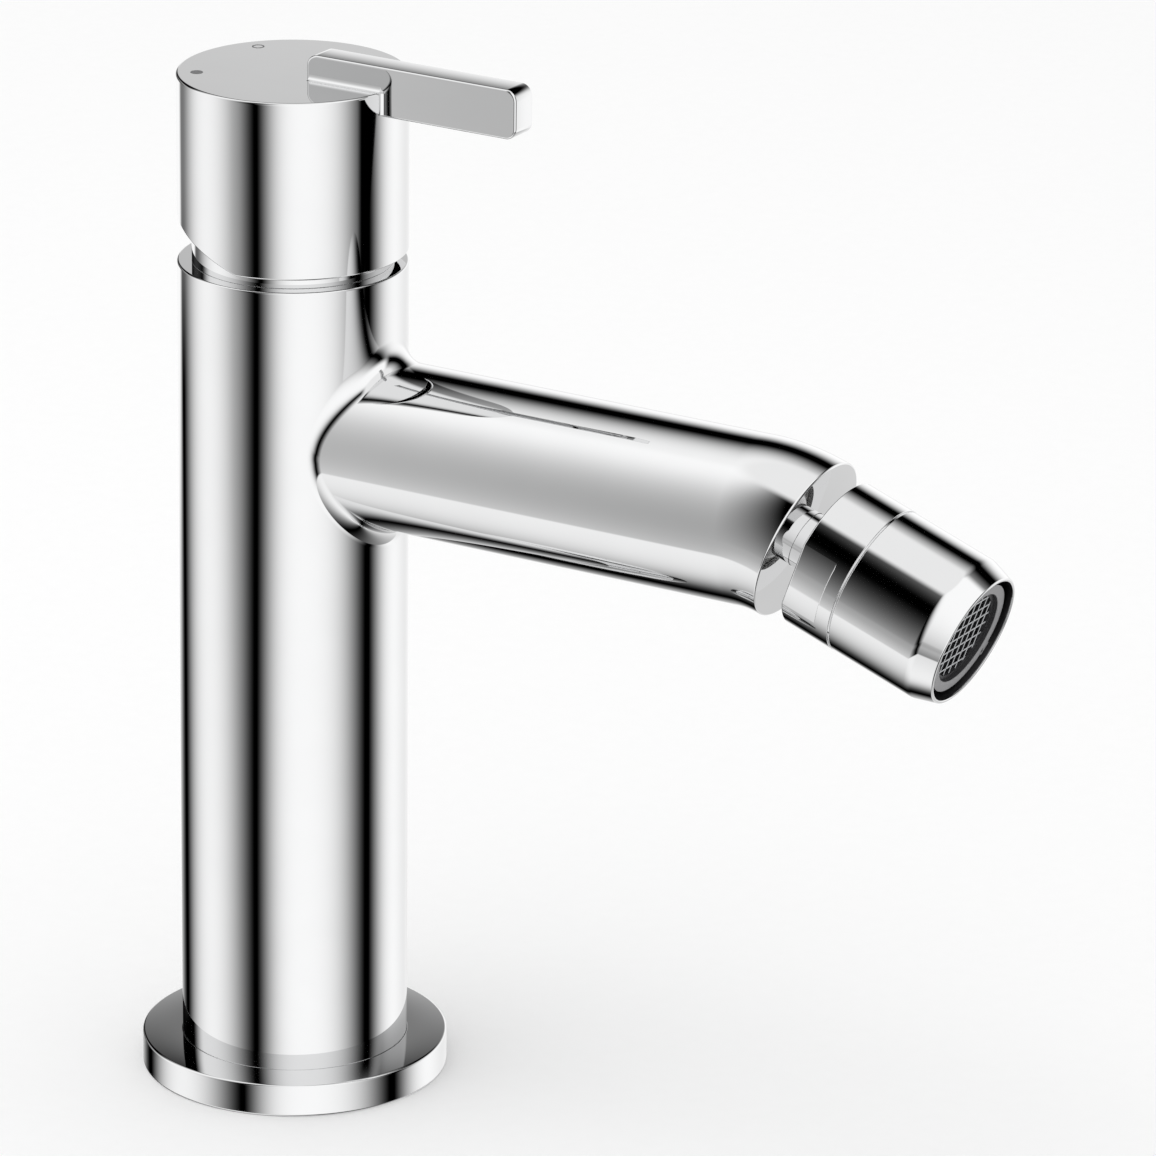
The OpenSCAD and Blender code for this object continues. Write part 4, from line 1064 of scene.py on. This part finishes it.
# The Wall material is painted shade on the ring's walls.
run_tree(cage, tabs, {
    "Count": TAB_COUNT, "Radius": CAGE_R * MM, "Station": (CAGE_END_S - tab_height / 2) * MM,
    "Block": (2 * TAB_OUT * MM, TAB_W * MM, tab_height * MM), "Face": grey_plastic, "Wall": dark_moulding_and_shade})
onto_nozzle(cage)
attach(cage, "nozzle")
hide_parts("aerator_cage")
print("cage", len(cage.data.polygons), "faces")

# %% [markdown]
# ## Pieces inside
# Seals, cartridge and screws keep the shape of their solids. They hardly show, but someone who takes the
# model apart sees them, so each gets the finish of its own stuff.

# %% Finish the solids that stay
inner_finishes = {
    "base_seal": rubber, "port_seal": rubber, "stud_seal": rubber, "aerator_gasket": rubber,
    "cartridge_housing": white_plastic, "ball_seat": white_plastic, "flow_regulator": dark_moulding_and_shade,
    "lever_carrier": grey_plastic, "disc_carrier": grey_plastic,
    "fixed_disc": ceramic, "moving_disc": ceramic,
    "cartridge_nut": brass, "stem": brass, "pivot_pin": steel, "set_screw": steel}
for name, finish in inner_finishes.items():
    solid_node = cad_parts[name]
    for slot in solid_node.material_slots:
        slot.material = finish
print("finished", len(inner_finishes), "inner solids")

# %% [markdown]
# ## Studio
# Chrome has no look of its own: it shows the studio. Product photographers stand large soft boxes round
# the object with narrow dark gaps between them, and the gaps draw the dark lines that tell the eye how
# the metal curves. A picture of a studio could be wrapped round the object, but a world made of a few gaps
# is easier to move. It is seen by direction: a bearing from the camera's side and a height, in degrees.

# %% Node group: a gap between two soft boxes
FADE_POWER = 1.9
HALF_TURN = 180.0

def wrapped(tree, angle, start):
    node = tree.nodes.new("ShaderNodeMath")
    node.operation = "WRAP"
    tree.links.new(math_node(tree, "SUBTRACT", angle, start), node.inputs[0])
    node.inputs[1].default_value = HALF_TURN
    node.inputs[2].default_value = -HALF_TURN
    return node.outputs["Value"]

gap, gap_in, gap_out = new_group("soft box gap", (
    ("Angle", "NodeSocketFloat", 0.0), ("Gap", "NodeSocketFloat", 0.0), ("Core", "NodeSocketFloat", 2.0),
    ("Before", "NodeSocketFloat", 30.0), ("After", "NodeSocketFloat", 20.0)), (("Level", "NodeSocketFloat"),))
away = wrapped(gap, gap_in.outputs["Angle"], gap_in.outputs["Gap"])
later = math_node(gap, "MAXIMUM", math_node(gap, "SUBTRACT", away, gap_in.outputs["Core"]), 0.0)
sooner = math_node(gap, "MINIMUM", math_node(gap, "ADD", away, gap_in.outputs["Core"]), 0.0)
after = math_node(gap, "DIVIDE", later, gap_in.outputs["After"])
before = math_node(gap, "DIVIDE", sooner, gap_in.outputs["Before"])
spread = math_node(gap, "POWER", math_node(gap, "SUBTRACT", after, before), FADE_POWER)
fade = math_node(gap, "EXPONENT", math_node(gap, "MULTIPLY", spread, -1.0))
gap.links.new(math_node(gap, "SUBTRACT", 1.0, fade), gap_out.inputs["Level"])
print("group", gap.name)

# %% Directions in the studio
STUDIO_TURN = math.radians(-33.15)
world = bpy.data.worlds.new("soft box studio")
bpy.context.scene.world = world
world.use_nodes = True
sky = world.node_tree
sky.nodes.clear()
look = sky.nodes.new("ShaderNodeTexCoord").outputs["Generated"]
turned_look = sky.nodes.new("ShaderNodeVectorRotate")
turned_look.rotation_type = "Z_AXIS"
turned_look.inputs["Angle"].default_value = STUDIO_TURN
sky.links.new(look, turned_look.inputs["Vector"])
split = sky.nodes.new("ShaderNodeSeparateXYZ")
sky.links.new(turned_look.outputs["Vector"], split.inputs["Vector"])
towards_camera = math_node(sky, "MULTIPLY", split.outputs["Y"], -1.0)
bearing = math_node(sky, "DEGREES", math_node(sky, "ARCTAN2", split.outputs["X"], towards_camera))
height = math_node(sky, "DEGREES", math_node(sky, "ARCSINE", split.outputs["Z"]))
print("studio turned", round(math.degrees(STUDIO_TURN), 2), "degrees")

# %% Helper: gaps, soft steps and sums
def box_gap(angle, at, core, before, after):
    node = sky.nodes.new("ShaderNodeGroup")
    node.node_tree = gap
    for socket, value in zip(node.inputs, (angle, at, core, before, after)):
        feed(sky, socket, value)
    return node.outputs["Level"]

def smooth(value, start, end):
    node = sky.nodes.new("ShaderNodeMapRange")
    node.interpolation_type = "SMOOTHSTEP"
    node.inputs["From Min"].default_value = start
    node.inputs["From Max"].default_value = end
    sky.links.new(value, node.inputs["Value"])
    return node.outputs["Result"]

def mix(factor, a, b):
    node = sky.nodes.new("ShaderNodeMix")
    for socket, value in zip((node.inputs[0], node.inputs[2], node.inputs[3]), (factor, a, b)):
        feed(sky, socket, value)
    return node.outputs[0]

def times(a, b):
    return math_node(sky, "MULTIPLY", a, b)

def plus(a, b):
    return math_node(sky, "ADD", a, b)

def minus(a, b):
    return math_node(sky, "SUBTRACT", a, b)

# %% [markdown]
# ## Gaps on the left, on the right and at the rear
# The camera looks down a little, so upright walls mirror a low strip of the studio, and there the gaps are
# set most carefully. The left gap shifts a few degrees in that strip. On the right a dark card with a
# slanted edge stands low beside the gap. The rear gap narrows in the strip and moves further back higher
# up. The right and the rear gap fade out towards the ceiling.

# %% Left gap
low = smooth(height, start=-12.0, end=-15.5)
strip = times(smooth(height, start=-22.5, end=-17.2), low)
LEFT_SHIFT = 3.0
shift = times(times(strip, smooth(bearing, start=-64.0, end=-52.0)), LEFT_SHIFT)
left_gap = box_gap(minus(bearing, shift), at=-40.0, core=1.0, before=29.0, after=19.0)
print("left gap shifts", LEFT_SHIFT, "degrees in the strip")

# %% Right gap with its card
CARD_EDGE, CARD_LOW, CARD_SLANT = 91.0, 16.4, 13.0
slant = times(math_node(sky, "MINIMUM", plus(height, CARD_LOW), 0.0), CARD_SLANT)
past_edge = smooth(minus(minus(bearing, CARD_EDGE), slant), start=-0.8, end=0.8)
card = math_node(sky, "MAXIMUM", past_edge, smooth(bearing, start=72.0, end=66.0))
card = mix(low, 1.0, card)
right_gap = times(box_gap(bearing, at=79.0, core=2.0, before=28.0, after=19.0), card)
right_gap = mix(smooth(height, start=24.0, end=46.0), right_gap, 1.0)
print("card's edge at", CARD_EDGE, "degrees")

# %% Rear gap
WIDE_BEFORE, NARROW_BEFORE, STRAY_LIGHT = 27.0, 5.0, 0.18
rear_gap = box_gap(bearing, at=-143.0, core=2.0, before=mix(strip, WIDE_BEFORE, NARROW_BEFORE), after=24.0)
stray = times(times(smooth(height, start=-18.5, end=-16.8), low), STRAY_LIGHT)
rear_gap = mix(stray, rear_gap, 1.0)
upper_gap = box_gap(bearing, at=-166.0, core=1.0, before=4.0, after=34.0)
rear_gap = mix(smooth(height, start=-12.0, end=10.0), rear_gap, upper_gap)
rear_gap = mix(smooth(height, start=20.0, end=48.0), rear_gap, 1.0)
boxes = times(times(left_gap, right_gap), rear_gap)
print("three gaps of", len(sky.nodes), "nodes")

# %% [markdown]
# ## Ceiling and table
# A dark line runs where the rear box meets the ceiling, and it tilts with the bearing because the box leans.
# Straight behind the object the box is dimmer low down, which keeps the walls' outer edges darker than the
# background. The table below is pale, with two soft shadows.

# %% Ceiling, table and the whole studio
BEHIND, CEILING_TILT, TILT_STOP = 168.0, 0.2, -22.0
EDGE_LEVEL, CEILING_LEVEL, TABLE_LEVEL = 0.8, 0.85, 1.08
from_rear = math_node(sky, "MAXIMUM", wrapped(sky, bearing, HALF_TURN), TILT_STOP)
tilted = plus(height, times(from_rear, CEILING_TILT))
ceiling_gap = box_gap(tilted, at=33.5, core=4.0, before=14.6, after=21.0)
off_rear = math_node(sky, "ABSOLUTE", wrapped(sky, bearing, BEHIND))
boxes = times(boxes, mix(smooth(off_rear, start=85.0, end=65.0), 1.0, ceiling_gap))
edge_on = times(smooth(off_rear, start=52.0, end=14.0), smooth(height, start=0.0, end=-10.0))
boxes = mix(edge_on, boxes, times(boxes, EDGE_LEVEL))
walls = mix(smooth(height, start=61.0, end=70.0), boxes, CEILING_LEVEL)
rear_shadow = box_gap(bearing, at=-162.0, core=1.0, before=19.0, after=64.0)
near_shadow = box_gap(bearing, at=40.0, core=0.0, before=60.0, after=110.0)
table = times(times(rear_shadow, near_shadow), TABLE_LEVEL)
studio = mix(smooth(height, start=-33.5, end=-31.0), table, walls)
print("studio of", len(sky.nodes), "nodes")

# %% [markdown]
# ## What each ray sees
# Only mirror rays see the studio. Plain surfaces get an even light, so that plastic and paper render about
# as their colours are written, and the camera itself sees white.

# %% Three backgrounds, picked by the kind of ray
MIRROR_LIGHT, EVEN_LIGHT, WHITE_LIGHT = 1.25, 0.96, 1.0

def background(strength):
    node = sky.nodes.new("ShaderNodeBackground")
    node.inputs["Color"].default_value = (1, 1, 1, 1)
    node.inputs["Strength"].default_value = strength
    return node

def pick(kind_of_ray, otherwise, then):
    node = sky.nodes.new("ShaderNodeMixShader")
    for socket, output in zip(node.inputs, (kind_of_ray, otherwise, then)):
        sky.links.new(output, socket)
    return node.outputs["Shader"]

mirror = background(MIRROR_LIGHT)
sky.links.new(studio, mirror.inputs["Color"])
even = background(EVEN_LIGHT)
white = background(WHITE_LIGHT)
path = sky.nodes.new("ShaderNodeLightPath")
glossy_or_even = pick(path.outputs["Is Glossy Ray"], even.outputs[0], mirror.outputs[0])
seen = pick(path.outputs["Is Camera Ray"], glossy_or_even, white.outputs[0])
world_out = sky.nodes.new("ShaderNodeOutputWorld")
sky.links.new(seen, world_out.inputs["Surface"])
print("mirror light", MIRROR_LIGHT, "even light", EVEN_LIGHT)

# %% [markdown]
# ## Floor, lamp and camera
# The floor is a plain pale sheet that takes the soft shadow. It hides itself from mirror rays, because the
# studio's own table is already part of what the chrome sees. One wide lamp from above gives that shadow a
# direction. The camera stands where the photographer stood.

# %% Pale floor
FLOOR_HALF, PAPER_GRAIN = 4.0, 300.0
PAPER_DARK, PAPER_LIGHT = 0.955, 0.965
floor_corners = [(x * FLOOR_HALF, y * FLOOR_HALF, 0) for x, y in ((-1, -1), (1, -1), (1, 1), (-1, 1))]
floor_mesh = bpy.data.meshes.new("floor")
floor_mesh.from_pydata(floor_corners, [], [(0, 1, 2, 3)])
floor = bpy.data.objects.new("floor", floor_mesh)
bpy.context.collection.objects.link(floor)
paper = bpy.data.materials.new("pale paper")
paper.use_nodes = True
paper_tree = paper.node_tree
paper_surface = paper_tree.nodes["Principled BSDF"]
paper_surface.inputs["Roughness"].default_value = 0.9
paper_surface.inputs["Specular IOR Level"].default_value = 0.0
paper_place = paper_tree.nodes.new("ShaderNodeTexCoord").outputs["Object"]
paper_tone = ramp(paper_tree, noise(paper_tree, paper_place, PAPER_GRAIN), PAPER_DARK, PAPER_LIGHT)
paper_tree.links.new(paper_tone.outputs["Result"], paper_surface.inputs["Base Color"])
floor_mesh.materials.append(paper)
floor.visible_glossy = False
print("floor", 2 * FLOOR_HALF, "m wide")

# %% Wide lamp above
LAMP_SIZE, LAMP_POWER, LAMP_PLACE, LAMP_TURN = 1.2, 3.2, (-0.3, -0.5, 1.5), (-18, -11, 0)
lamp_data = bpy.data.lights.new("wide lamp", "AREA")
lamp_data.shape = "DISK"
lamp_data.size = LAMP_SIZE
lamp_data.energy = LAMP_POWER
lamp = bpy.data.objects.new("wide lamp", lamp_data)
lamp.location = LAMP_PLACE
lamp.rotation_euler = [math.radians(angle) for angle in LAMP_TURN]
lamp.visible_glossy = False
bpy.context.collection.objects.link(lamp)
print("lamp", LAMP_SIZE, "m wide,", LAMP_POWER, "W")

# %% Camera where the photographer stood
CAMERA_PLACE, CAMERA_TURN = (0.69984, -1.07162, 0.5527), (70.1669, -0.5931, 31.1356)
SENSOR, LENS, FARTHEST = 36.0, 242.04, 20.0
camera_data = bpy.data.cameras.new("camera")
camera_data.sensor_width = SENSOR
camera_data.lens = LENS
camera_data.clip_end = FARTHEST
camera = bpy.data.objects.new("camera", camera_data)
camera.location = CAMERA_PLACE
camera.rotation_euler = [math.radians(angle) for angle in CAMERA_TURN]
bpy.context.collection.objects.link(camera)
bpy.context.scene.camera = camera
bpy.context.scene.view_settings.view_transform = "Standard"
print("camera", [round(value, 4) for value in camera.location])
